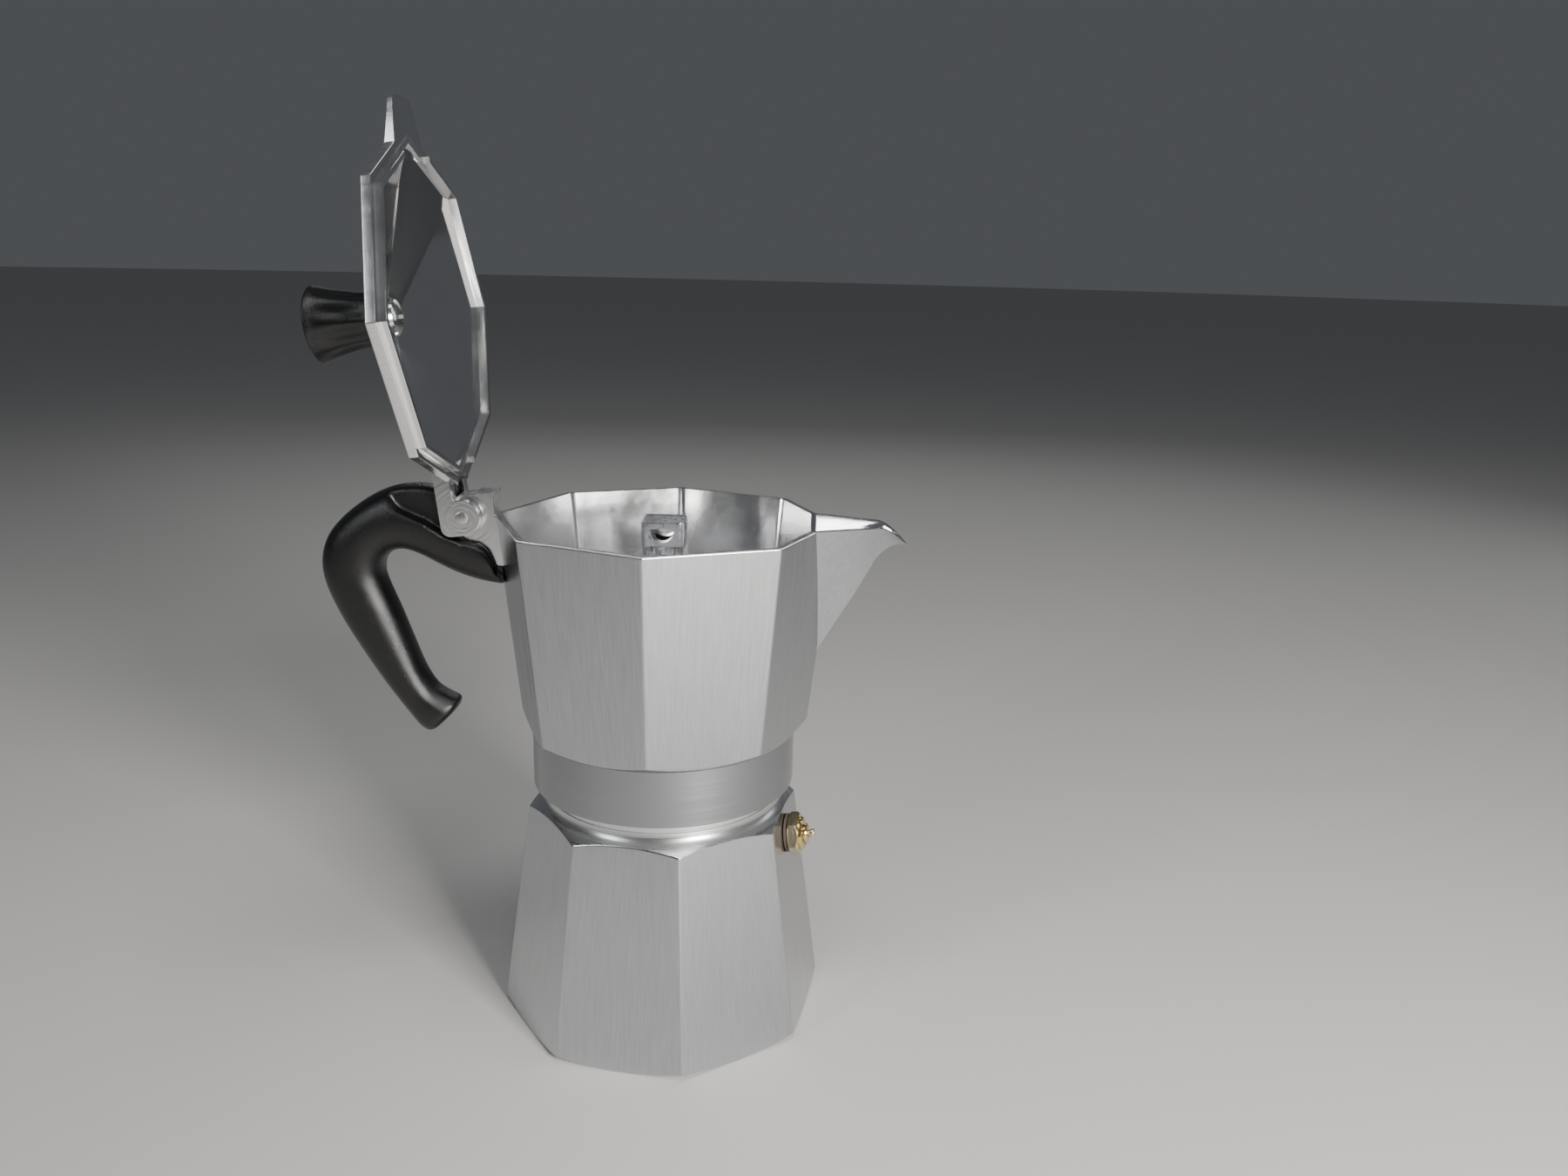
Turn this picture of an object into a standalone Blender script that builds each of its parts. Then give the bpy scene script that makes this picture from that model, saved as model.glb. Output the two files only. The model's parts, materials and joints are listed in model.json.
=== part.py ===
"""Six-cup stove-top moka pot, standing upright with its lid open on its stop.

Frame: +Z up, +X towards the spout, -X towards the handle. The origin is the centre of the boiler's flat
base. Sizes are written in millimetres and degrees; a mesh is turned into metres when it is made.
"""

import math

import bmesh
import bpy
from mathutils import Vector

MM = 0.001

# ---- fits and resolution
GAP = 0.3  # between two pieces that touch on the real pot
SIDES = 8  # facets of the boiler, the collector and the lid
COLUMNS = 48  # mesh columns round a faceted body, a multiple of SIDES
FINE = 36  # sides of a turned part of 20 mm and more
SMALL = 24  # sides of a small turned part, a multiple of 6
HALF_SIDE = math.pi / SIDES

# ---- boiler
BASE_CORNER_R = 57.0
BOILER_TOP_CORNER_R = 46.6
BOILER_TOP_CORNER_Z = 74.7
BOILER_TURN = 12.3  # how far the boiler's corners stand round from the collector's when screwed tight
BOILER_WALL = 2.8
BOILER_FLOOR = 3.5
FOOT_R = 52.2  # flat underside
FOOT_SLOPE = 0.5  # rise of the turned chamfer round the foot
SHOULDER_SLOPE = 0.45  # rise of the turned cone that cuts the tops of the facets
NECK_ROOT_R = 38.9
NECK_BORE_R = 33.5
NECK_TOP = 96.5
NECK_UNDERCUT_Z = 78.0  # where the boiler's inside closes in to the neck

# ---- thread between the neck and the collector's skirt
PITCH = 3.0
THREAD_H = 1.2
THREAD_BASE = 1.6
THREAD_CREST = 0.8
THREAD_START = 86.4
THREAD_TURNS = 2.6
THREAD_SEGMENTS = 36
THREAD_SINK = 0.4  # how far a ridge runs into the wall it grows from

# ---- collector
RIM_Z = 175.0
RIM_CORNER_R = 56.8
COLLECTOR_BOTTOM_CORNER_R = 49.3
COLLECTOR_BOTTOM_CORNER_Z = 106.1
COLLECTOR_WALL = 2.6
COLLECTOR_FLOOR_Z = 106.5
COLLECTOR_CONE_SLOPE = 0.587
SKIRT_R = 44.75
SKIRT_BOTTOM = 84.3
SKIRT_TOP = 103.2
SKIRT_BORE_R = NECK_ROOT_R + THREAD_H + 0.4

# ---- seal stack between the boiler and the collector
FLANGE_T = 0.8
GASKET_T = 3.5
GASKET_R = 36.4
GASKET_HOLE_R = 28.8
FILTER_T = 0.7
FILTER_R = 31.4
SHEET_T = 0.8  # funnel's sheet
FUNNEL_DEPTH = 24.0
STEM_R = 5.5
STEM_WALL = 0.7
STEM_BOTTOM = 8.5
SCREEN_T = 0.8
HOLE_R = 1.1
HOLE_PITCH = 8.2
HOLE_RINGS = 3

# ---- column inside the collector
COLUMN_FOOT_R = 10.5
COLUMN_BASE_R = 9.0
COLUMN_TOP_R = 7.7
COLUMN_BORE_R = 3.3
COLUMN_SHANK_R = 6.2
COLUMN_FLUTES = 12
FLUTE_DEPTH = 0.6
HEAD_WIDTH = 13.9
HEAD_H = 8.6
WINDOW_WIDTH = 7.6
WINDOW_H = 4.6
HEAD_ROOF = 2.3

# ---- spout: stations of the top edge (x, half width, z) and of the keel (x, z), root to tip,
# measured from the rim's corner
SPOUT_STATIONS = (
    ((-6.6, 15.7, 0.0), (-4.9, -44.2)),
    ((-2.3, 13.9, 0.0), (-0.8, -37.0)),
    ((2.2, 12.0, 0.0), (3.4, -30.0)),
    ((6.7, 10.2, 0.0), (7.7, -22.8)),
    ((11.2, 8.5, 0.0), (11.6, -15.6)),
    ((15.0, 7.1, -0.1), (14.1, -11.1)),
    ((17.8, 5.8, -1.4), (16.8, -8.4)),
    ((20.2, 4.2, -3.1), (19.5, -6.9)),
    ((22.4, 2.2, -5.2), (21.9, -6.5)),
    ((23.7, 0.3, -6.3), (23.6, -6.7)),
)
SPOUT_WALL = 2.0
SPOUT_FLARE = 0.7  # how far the flanks curve in below the top edge

# ---- hinge, lug and lid
PIN_X = -RIM_CORNER_R - 8.1
PIN_Z = RIM_Z
PIN_R = 1.5
LID_OPEN = 96.8
LUG_HALF = 5.25
LUG_TOP = 7.6  # above the pin
LUG_FRONT = 9.6  # in front of the pin
LUG_ROUND_R = 6.6
GUSSET_BOTTOM_Z = RIM_Z - 16.6
EAR_T = 4.3
EAR_ARM_END = 24.0
EAR_R = 5.9
EAR_TOP = 7.3  # above the pin when the lid is shut
EAR_UNDER = 2.0
LID_CORNER_R = RIM_CORNER_R - 0.2
LID_FLANGE_T = 2.9
LID_APEX = 16.7
LID_SEAT_R = 9.5
LID_SHEET = 2.6
LIP_R = RIM_CORNER_R - COLLECTOR_WALL / math.cos(HALF_SIDE) - 0.6
LIP_INNER_R = LIP_R - 2.0
LID_INNER_R = LIP_R + 0.9
LIP_DROP = 2.1
NOTCH_R = 12.8
BEAK_TIP = RIM_CORNER_R + 9.1  # from the pot's axis
BEAK_TIP_HALF = 8.6
BEAK_ROOT_HALF = 13.6
BEAK_TIP_T = 1.3

# ---- knob
KNOB_END_R = 12.35
KNOB_NECK_R = 8.3
KNOB_H = 22.4
KNOB_FLUTES = 8
KNOB_FLUTE_DEPTH = 0.8
INSERT_R = 4.3
INSERT_H = 9.5
SCREW_R = 2.0
SCREW_HEAD_R = 6.0
SCREW_HEAD_H = 2.2

# ---- handle: stations of its outer edge (x, z), inner edge (x, z) and half width, measured from the
# rim's corner
HANDLE_STATIONS = (
    ((3.2, -6.5), (3.2, -23.8), 8.8),
    ((-4.4, -1.0), (-3.9, -22.7), 9.6),
    ((-11.8, 5.4), (-11.3, -20.5), 10.0),
    ((-19.7, 9.1), (-17.6, -17.7), 10.0),
    ((-27.2, 9.4), (-23.1, -14.8), 9.9),
    ((-34.5, 7.8), (-28.4, -12.9), 9.8),
    ((-42.1, 3.9), (-32.7, -13.1), 9.6),
    ((-49.9, -2.2), (-35.6, -14.9), 9.4),
    ((-55.4, -9.0), (-37.2, -17.8), 9.3),
    ((-57.8, -17.4), (-37.5, -21.4), 9.1),
    ((-56.5, -26.5), (-36.2, -25.7), 8.9),
    ((-51.6, -38.0), (-32.8, -34.2), 8.6),
    ((-44.6, -50.3), (-29.0, -44.9), 8.2),
    ((-37.9, -60.9), (-25.3, -54.8), 7.8),
    ((-32.3, -68.8), (-21.5, -61.0), 7.6),
    ((-28.1, -74.6), (-17.1, -63.7), 7.7),
    ((-25.6, -76.7), (-14.0, -65.1), 7.6),
)
HANDLE_SECTION = 20  # points round a section
HANDLE_STEPS = 2  # sections between two stations
SECTION_POWER = 2.3  # above 2 squares an ellipse a little
SCOOP_BACK = PIN_X - 25.1
SCOOP_ROUND_R = 9.0
HANDLE_SCREW_X = PIN_X + 2.4
HANDLE_SCREW_HEAD_Z = RIM_Z - 18.7
HANDLE_SCREW_R = 1.9

# ---- safety valve, along its own axis from the facet outwards
VALVE_Z = 66.5
VALVE_SHANK_R = 4.9
VALVE_DEPTH = 8.0
VALVE_HEX = 13.0
VALVE_HEX_TURN = -14.7
VALVE_CHAMBER_R = 3.0
VALVE_SEAT_R = 1.6
VALVE_SEAT_U = -5.5
WASHER_T = 0.7
HEX_H = 3.6
COLLAR_R = 5.6
COLLAR_H = 1.3
BUSH_R = 3.3
BUSH_H = 1.2
VALVE_PIN_R = 0.9
VALVE_KNOB_R = 1.5
VALVE_TIP_U = 9.8
POPPET_R = 2.5
SPRING_R = 1.9
SPRING_WIRE_R = 0.25
SPRING_TURNS = 5

# heights of the seal stack follow from one another
FLANGE_Z = NECK_TOP + GAP
GASKET_Z = FLANGE_Z + FLANGE_T + GAP
FILTER_Z = GASKET_Z + GASKET_T + GAP
GASKET_SEAT_Z = GASKET_Z + GASKET_T + GAP
FILTER_SEAT_Z = FILTER_Z + FILTER_T + 0.4
SCREEN_Z = FLANGE_Z + FLANGE_T - FUNNEL_DEPTH


# ---- materials -------------------------------------------------------------------------------------
def make_material(name, colour, roughness, metallic):
    material = bpy.data.materials.new(name)
    material.use_nodes = True
    shader = material.node_tree.nodes["Principled BSDF"]
    shader.inputs["Base Color"].default_value = (*colour, 1.0)
    shader.inputs["Roughness"].default_value = roughness
    shader.inputs["Metallic"].default_value = metallic
    return material


# ---- mesh helpers ----------------------------------------------------------------------------------
def polar(radius, angle, z):
    return Vector((radius * math.cos(angle), radius * math.sin(angle), z))


def columns(count, turn=0.0):
    return [math.tau * i / count + math.radians(turn) for i in range(count)]


def circle(radius, z, count=COLUMNS, turn=0.0):
    return [polar(radius, angle, z) for angle in columns(count, turn)]


def polygon_radius(corner_radius, angle, sides=SIDES):
    """Distance from the axis to the edge of a polygon that has a corner at angle 0."""
    half = math.pi / sides
    return corner_radius * math.cos(half) / math.cos(angle % (2 * half) - half)


def polygon(corner_radius, z, count=COLUMNS, turn=0.0, sides=SIDES):
    """A polygon sampled at the same columns as a circle of the same count."""
    return [
        polar(polygon_radius(corner_radius, angle, sides), angle + math.radians(turn), z)
        for angle in columns(count)
    ]


def cone_cut(corner_radius_at, cone_z_at, turn=0.0):
    """The ring where tapered facets meet a turned cone."""
    ring = []
    for angle in columns(COLUMNS):
        z = cone_z_at(corner_radius_at(0.0))
        for _ in range(6):
            radius = polygon_radius(corner_radius_at(z), angle)
            z = cone_z_at(radius)
        ring.append(polar(radius, angle + math.radians(turn), z))
    return ring


def pole(z):
    return [Vector((0.0, 0.0, z))]


def skin(rings, closed=False):
    """A mesh through rings of equally many points; a ring of one point closes its end."""
    mesh = bmesh.new()
    loops = [[mesh.verts.new(point) for point in ring] for ring in rings]
    pairs = list(zip(loops, loops[1:]))
    if closed:
        pairs.append((loops[-1], loops[0]))
    for low, high in pairs:
        count = max(len(low), len(high))
        for i in range(count):
            j = (i + 1) % count
            corners = (low[i % len(low)], low[j % len(low)], high[j % len(high)], high[i % len(high)])
            mesh.faces.new(list(dict.fromkeys(corners)))
    if not closed:
        for end in (loops[0], loops[-1]):
            if len(end) > 2:
                mesh.faces.new(end)
    return mesh


def turned(profile, count=FINE, closed=False):
    """A body of revolution about Z; a closed profile makes a ring."""
    rings = [circle(radius, z, count) if radius > 0 else pole(z) for radius, z in profile]
    return skin(rings, closed)


def prism(outline, half_width):
    """An outline of (x, z) points given a width along Y."""
    rings = [[Vector((x, y, z)) for x, z in outline] for y in (-half_width, half_width)]
    return skin(rings)


def box(low, high):
    outline = ((low[0], low[2]), (high[0], low[2]), (high[0], high[2]), (low[0], high[2]))
    rings = [[Vector((x, y, z)) for x, z in outline] for y in (low[1], high[1])]
    return skin(rings)


def arc(centre, radius, start, end, count):
    """Points on an arc in a plane, from one angle in degrees to another."""
    step = (end - start) / (count - 1)
    angles = [math.radians(start + step * i) for i in range(count)]
    return [(centre[0] + radius * math.cos(a), centre[1] + radius * math.sin(a)) for a in angles]


def add_piece(name, mesh_in_mm, material, parent=None):
    """A named object in metres, smooth over its round faces and sharp at its edges."""
    bmesh.ops.recalc_face_normals(mesh_in_mm, faces=mesh_in_mm.faces)
    bmesh.ops.scale(mesh_in_mm, vec=(MM, MM, MM), verts=mesh_in_mm.verts)
    mesh = bpy.data.meshes.new(name)
    mesh_in_mm.to_mesh(mesh)
    mesh_in_mm.free()
    mesh.materials.append(material)
    mesh.shade_smooth()
    mesh.set_sharp_from_angle(angle=math.radians(16))
    piece = bpy.data.objects.new(name, mesh)
    bpy.context.scene.collection.objects.link(piece)
    piece.parent = parent
    return piece


def add_tool(name, mesh_in_mm, parent=None):
    """A guide for a Boolean, left out of the built model."""
    tool = add_piece(name, mesh_in_mm, TOOL_MATERIAL, parent)
    tool.hide_render = True
    tool.display_type = "WIRE"
    return tool


def combine(piece, operation, *tools):
    for tool in tools:
        modifier = piece.modifiers.new(tool.name, "BOOLEAN")
        modifier.operation = operation
        modifier.solver = "EXACT"
        modifier.object = tool


def add_empty(name, location, rotation=(0.0, 0.0, 0.0)):
    empty = bpy.data.objects.new(name, None)
    empty.location = [value * MM for value in location]
    empty.rotation_euler = rotation
    bpy.context.scene.collection.objects.link(empty)
    return empty


def hole_grid(thickness_low, thickness_high):
    """Drills for a perforated plate, in rings of a hexagonal pattern."""
    mesh = bmesh.new()
    for row in range(-HOLE_RINGS, HOLE_RINGS + 1):
        for place in range(-HOLE_RINGS, HOLE_RINGS + 1):
            if abs(row + place) > HOLE_RINGS:
                continue
            x = HOLE_PITCH * (place + row / 2)
            y = HOLE_PITCH * row * math.sqrt(3) / 2
            ends = [
                [mesh.verts.new((x + p.x, y + p.y, p.z)) for p in circle(HOLE_R, z, 6)]
                for z in (thickness_low, thickness_high)
            ]
            mesh.faces.new(ends[0])
            mesh.faces.new(ends[1])
            for i in range(6):
                j = (i + 1) % 6
                mesh.faces.new((ends[0][i], ends[0][j], ends[1][j], ends[1][i]))
    return mesh


def thread_ridge(wall_radius, inward, start_z, turns):
    """One helical ridge on a round wall, fading out at both ends."""
    out = -1.0 if inward else 1.0
    count = round(turns * THREAD_SEGMENTS)
    fade = THREAD_SEGMENTS / 8
    rings = []
    for i in range(count + 1):
        angle = math.tau * i / THREAD_SEGMENTS
        middle = start_z + PITCH * i / THREAD_SEGMENTS
        height = THREAD_H * min(1.0, 0.1 + i / fade, 0.1 + (count - i) / fade)
        base = wall_radius - out * THREAD_SINK
        crest = wall_radius + out * height
        rings.append(
            [
                polar(base, angle, middle - THREAD_BASE / 2),
                polar(crest, angle, middle - THREAD_CREST / 2),
                polar(crest, angle, middle + THREAD_CREST / 2),
                polar(base, angle, middle + THREAD_BASE / 2),
            ]
        )
    return skin(rings)


# ---- boiler ----------------------------------------------------------------------------------------
def boiler_corner_r(z):
    return BASE_CORNER_R + (BOILER_TOP_CORNER_R - BASE_CORNER_R) * z / BOILER_TOP_CORNER_Z


def foot_z(radius):
    return max(0.0, radius - FOOT_R) * FOOT_SLOPE


def shoulder_z(radius):
    return BOILER_TOP_CORNER_Z + (BOILER_TOP_CORNER_R - radius) * SHOULDER_SLOPE


def make_boiler(metal, valve_axis):
    inner_top = BOILER_TOP_CORNER_Z - 3.0
    inner_low = BOILER_FLOOR + 3.0
    wall = BOILER_WALL / math.cos(HALF_SIDE)
    neck_fillet_r = NECK_ROOT_R + 1.8
    rings = [
        pole(0.0),
        circle(FOOT_R, 0.0, turn=BOILER_TURN),
        cone_cut(boiler_corner_r, foot_z, BOILER_TURN),
        cone_cut(boiler_corner_r, shoulder_z, BOILER_TURN),
        circle(neck_fillet_r, shoulder_z(neck_fillet_r), turn=BOILER_TURN),
        circle(NECK_ROOT_R + 0.5, shoulder_z(NECK_ROOT_R) + 1.2, turn=BOILER_TURN),
        circle(NECK_ROOT_R, shoulder_z(NECK_ROOT_R) + 3.0, turn=BOILER_TURN),
        circle(NECK_ROOT_R, NECK_TOP - 0.8, turn=BOILER_TURN),
        circle(NECK_ROOT_R - 0.8, NECK_TOP, turn=BOILER_TURN),
        circle(NECK_BORE_R, NECK_TOP, turn=BOILER_TURN),
        circle(NECK_BORE_R, NECK_UNDERCUT_Z, turn=BOILER_TURN),
        polygon(boiler_corner_r(inner_top) - wall, inner_top, turn=BOILER_TURN),
        polygon(boiler_corner_r(inner_low) - wall, inner_low, turn=BOILER_TURN),
        polygon(boiler_corner_r(inner_low) - wall - 3.0, BOILER_FLOOR, turn=BOILER_TURN),
        pole(BOILER_FLOOR),
    ]
    boiler = add_piece("boiler", skin(rings), metal)
    ridge = thread_ridge(NECK_ROOT_R, False, THREAD_START, THREAD_TURNS)
    boss = turned(((0, -BOILER_WALL - 3.6), (8.0, -BOILER_WALL - 3.6), (9.0, -1.0), (0, -1.0)), SMALL)
    drill_r = VALVE_SHANK_R + GAP
    drill = turned(((0, -20.0), (drill_r, -20.0), (drill_r, 5.0), (0, 5.0)), SMALL)
    combine(boiler, "UNION", add_tool("tool_neck_thread", ridge))
    combine(boiler, "UNION", add_tool("tool_valve_boss", boss, valve_axis))
    combine(boiler, "DIFFERENCE", add_tool("tool_valve_drill", drill, valve_axis))
    return boiler


# ---- safety valve ----------------------------------------------------------------------------------
def make_valve_axis():
    """An empty on the facet, its Z along the facet's outward normal."""
    azimuth = math.radians(BOILER_TURN) - HALF_SIDE
    lean = math.atan2(
        (BASE_CORNER_R - BOILER_TOP_CORNER_R) * math.cos(HALF_SIDE), BOILER_TOP_CORNER_Z
    )
    reach = boiler_corner_r(VALVE_Z) * math.cos(HALF_SIDE)
    place = (reach * math.cos(azimuth), reach * math.sin(azimuth), VALVE_Z)
    return add_empty("valve_axis", place, (0.0, math.pi / 2 - lean, azimuth))


def make_valve(axis, brass, steel, rubber, fibre):
    washer_u = GAP
    hex_u = washer_u + WASHER_T + GAP
    collar_u = hex_u + HEX_H
    mouth_u = collar_u + COLLAR_H
    corner = VALVE_HEX / 2 / math.cos(math.pi / 6)
    chamfer = 0.7
    washer = (
        (VALVE_SHANK_R + GAP, washer_u),
        (corner - 0.9, washer_u),
        (corner - 0.9, washer_u + WASHER_T),
        (VALVE_SHANK_R + GAP, washer_u + WASHER_T),
    )
    add_piece("valve_washer", turned(washer, SMALL, closed=True), fibre, axis)

    def hexagon(radius, u):
        return polygon(radius, u, SMALL, VALVE_HEX_TURN, 6)

    def ring(radius, u):
        return circle(radius, u, SMALL, VALVE_HEX_TURN)

    body = [
        ring(VALVE_SHANK_R, -VALVE_DEPTH),
        ring(VALVE_SHANK_R, hex_u),
        hexagon(corner - chamfer, hex_u),
        hexagon(corner, hex_u + chamfer / 2),
        hexagon(corner, collar_u - chamfer / 2),
        hexagon(corner - chamfer, collar_u),
        ring(COLLAR_R, collar_u),
        ring(COLLAR_R - 0.6, mouth_u),
        ring(VALVE_CHAMBER_R, mouth_u),
        ring(VALVE_CHAMBER_R, VALVE_SEAT_U),
        ring(VALVE_SEAT_R, VALVE_SEAT_U),
        ring(VALVE_SEAT_R, -VALVE_DEPTH),
    ]
    add_piece("valve_body", skin(body, closed=True), brass, axis)

    bush_u = mouth_u + GAP
    spigot_r = VALVE_CHAMBER_R - GAP
    spigot_u = bush_u - 1.8
    bush_bore = VALVE_PIN_R + GAP
    bush = (
        (bush_bore, spigot_u),
        (spigot_r, spigot_u),
        (spigot_r, bush_u),
        (BUSH_R, bush_u),
        (BUSH_R, bush_u + BUSH_H - 0.3),
        (BUSH_R - 0.3, bush_u + BUSH_H),
        (bush_bore, bush_u + BUSH_H),
    )
    add_piece("valve_bush", turned(bush, SMALL, closed=True), brass, axis)

    seal_u = VALVE_SEAT_U + GAP
    seal_t = 0.8
    poppet_u = seal_u + seal_t + GAP
    poppet_top = poppet_u + 1.0
    knob_u = VALVE_TIP_U - 1.3
    pin = (
        (0, poppet_u),
        (POPPET_R, poppet_u),
        (POPPET_R, poppet_top),
        (VALVE_PIN_R, poppet_top),
        (VALVE_PIN_R, knob_u),
        (VALVE_KNOB_R, knob_u + 0.3),
        (VALVE_KNOB_R, VALVE_TIP_U - 0.4),
        (VALVE_KNOB_R - 0.5, VALVE_TIP_U),
        (0, VALVE_TIP_U),
    )
    add_piece("valve_pin", turned(pin, SMALL), brass, axis)
    seal = ((0, seal_u), (POPPET_R, seal_u), (POPPET_R, seal_u + seal_t), (0, seal_u + seal_t))
    add_piece("valve_seal", turned(seal, SMALL), rubber, axis)

    spring_low = poppet_top + GAP + SPRING_WIRE_R
    spring_high = spigot_u - GAP - SPRING_WIRE_R
    steps = 12 * SPRING_TURNS
    rings = []
    for i in range(steps + 1):
        angle = math.tau * SPRING_TURNS * i / steps
        centre = polar(SPRING_R, angle, spring_low + (spring_high - spring_low) * i / steps)
        outwards = polar(1.0, angle, 0.0)
        rings.append(
            [
                centre
                + outwards * SPRING_WIRE_R * math.cos(turn)
                + Vector((0, 0, SPRING_WIRE_R * math.sin(turn)))
                for turn in columns(6)
            ]
        )
    add_piece("valve_spring", skin(rings), steel, axis)


# ---- funnel and seal stack -------------------------------------------------------------------------
def make_funnel(sheet):
    wall_r = NECK_BORE_R - 2 * GAP
    collar_r = STEM_R + GAP
    collar_low = SCREEN_Z - 13.0
    cone_low = SCREEN_Z - 7.0
    cone_high = SCREEN_Z - 1.2
    top = FLANGE_Z + FLANGE_T
    flange_r = GASKET_R - 0.2
    basket = (
        (collar_r, collar_low),
        (collar_r + SHEET_T, collar_low),
        (collar_r + SHEET_T, cone_low),
        (wall_r - SHEET_T, cone_high),
        (wall_r, cone_high + SHEET_T),
        (wall_r, FLANGE_Z),
        (flange_r, FLANGE_Z),
        (flange_r, top),
        (wall_r - SHEET_T, top),
        (wall_r - SHEET_T, SCREEN_Z - GAP),
        (wall_r - 2 * SHEET_T, SCREEN_Z - GAP),
        (collar_r, cone_low + SHEET_T),
    )
    add_piece("funnel_basket", turned(basket, closed=True), sheet)
    stem = (
        (STEM_R - STEM_WALL, STEM_BOTTOM),
        (STEM_R, STEM_BOTTOM),
        (STEM_R, cone_low),
        (STEM_R - STEM_WALL, cone_low),
    )
    add_piece("funnel_stem", turned(stem, SMALL, closed=True), sheet)
    screen_r = wall_r - SHEET_T - GAP
    plate = ((0, SCREEN_Z), (screen_r, SCREEN_Z), (screen_r, SCREEN_Z + SCREEN_T), (0, SCREEN_Z + SCREEN_T))
    screen = add_piece("funnel_screen", turned(plate), sheet)
    combine(screen, "DIFFERENCE", add_tool("tool_screen_holes", hole_grid(SCREEN_Z - 1, SCREEN_Z + 2)))


def make_gasket(rubber):
    edge = 0.5
    top = GASKET_Z + GASKET_T
    profile = (
        (GASKET_HOLE_R, GASKET_Z + edge),
        (GASKET_HOLE_R + edge, GASKET_Z),
        (GASKET_R - edge, GASKET_Z),
        (GASKET_R, GASKET_Z + edge),
        (GASKET_R, top - edge),
        (GASKET_R - edge, top),
        (GASKET_HOLE_R + edge, top),
        (GASKET_HOLE_R, top - edge),
    )
    add_piece("gasket", turned(profile, closed=True), rubber)


def make_filter_plate(sheet):
    dish_r = GASKET_HOLE_R - GAP
    dish_z = GASKET_Z + 0.6
    top = FILTER_Z + FILTER_T
    profile = (
        (0, dish_z),
        (dish_r - 0.5, dish_z),
        (dish_r, dish_z + 0.5),
        (dish_r, FILTER_Z),
        (FILTER_R, FILTER_Z),
        (FILTER_R, top),
        (dish_r - FILTER_T, top),
        (dish_r - FILTER_T, dish_z + FILTER_T),
        (0, dish_z + FILTER_T),
    )
    plate = add_piece("filter_plate", turned(profile), sheet)
    combine(plate, "DIFFERENCE", add_tool("tool_filter_holes", hole_grid(dish_z - 1, dish_z + 2)))


# ---- collector -------------------------------------------------------------------------------------
def collector_corner_r(z):
    rise = (z - COLLECTOR_BOTTOM_CORNER_Z) / (RIM_Z - COLLECTOR_BOTTOM_CORNER_Z)
    return COLLECTOR_BOTTOM_CORNER_R + (RIM_CORNER_R - COLLECTOR_BOTTOM_CORNER_R) * rise


def collector_cone_z(radius):
    return COLLECTOR_BOTTOM_CORNER_Z + (radius - COLLECTOR_BOTTOM_CORNER_R) * COLLECTOR_CONE_SLOPE


def spout_slices(inset):
    """Closed slices of the spout from root to tip, set in from the outer surface by inset."""
    slices = []
    corner = Vector((RIM_CORNER_R, 0.0, RIM_Z))
    for (edge_x, half, edge_z), (keel_x, keel_z) in SPOUT_STATIONS:
        half = max(half - inset * 1.15, 0.12)
        keel = corner + Vector((keel_x - inset * 0.9, 0.0, min(keel_z + inset * 1.1, edge_z - 0.15)))
        edge = corner + Vector((edge_x - inset * 0.35, half, edge_z))
        flank = []
        for share in (0.35, 0.7, 0.88):
            point = keel.lerp(edge, share)
            flank.append(point - Vector((0.0, min(SPOUT_FLARE, half * 0.1) * math.sin(math.pi * share), 0.0)))
        right = [keel, *flank, edge]
        left = [Vector((p.x, -p.y, p.z)) for p in reversed(right[1:])]
        slices.append(right + left)
    return slices


def make_spout_solid():
    slices = spout_slices(0.0)
    root = [Vector((p.x - 4.0, p.y, p.z)) for p in slices[0]]
    return skin([root, *slices])


def make_spout_channel():
    """What the spout is hollowed with: it opens into the collector and out of the top."""
    slices = spout_slices(SPOUT_WALL)[:-1]
    root = [Vector((p.x - 9.0, p.y, p.z)) for p in slices[0]]
    channel = []
    for ring in (root, *slices):
        top = max(p.z for p in ring)
        channel.append([Vector((p.x, p.y, p.z + (1.5 if p.z > top - 0.01 else 0.0))) for p in ring])
    return skin(channel)


def lug_outline(grow):
    """Side view of the hinge lug and its gusset, grown outwards by grow."""
    centre = (PIN_X, PIN_Z)
    round_r = LUG_ROUND_R + grow
    front = PIN_X + LUG_FRONT + grow
    top = PIN_Z + LUG_TOP + grow
    inside = -RIM_CORNER_R + 4.0
    return [
        (inside, RIM_Z - 3.0),
        (front, RIM_Z - 3.0),
        (front, top),
        (PIN_X + 3.4, top),
        *arc(centre, round_r, 75.0, 205.0, 10),
        (-collector_corner_r(GUSSET_BOTTOM_Z) + 0.1, GUSSET_BOTTOM_Z - grow),
        (inside + 2.0, GUSSET_BOTTOM_Z - grow),
    ]


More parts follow.
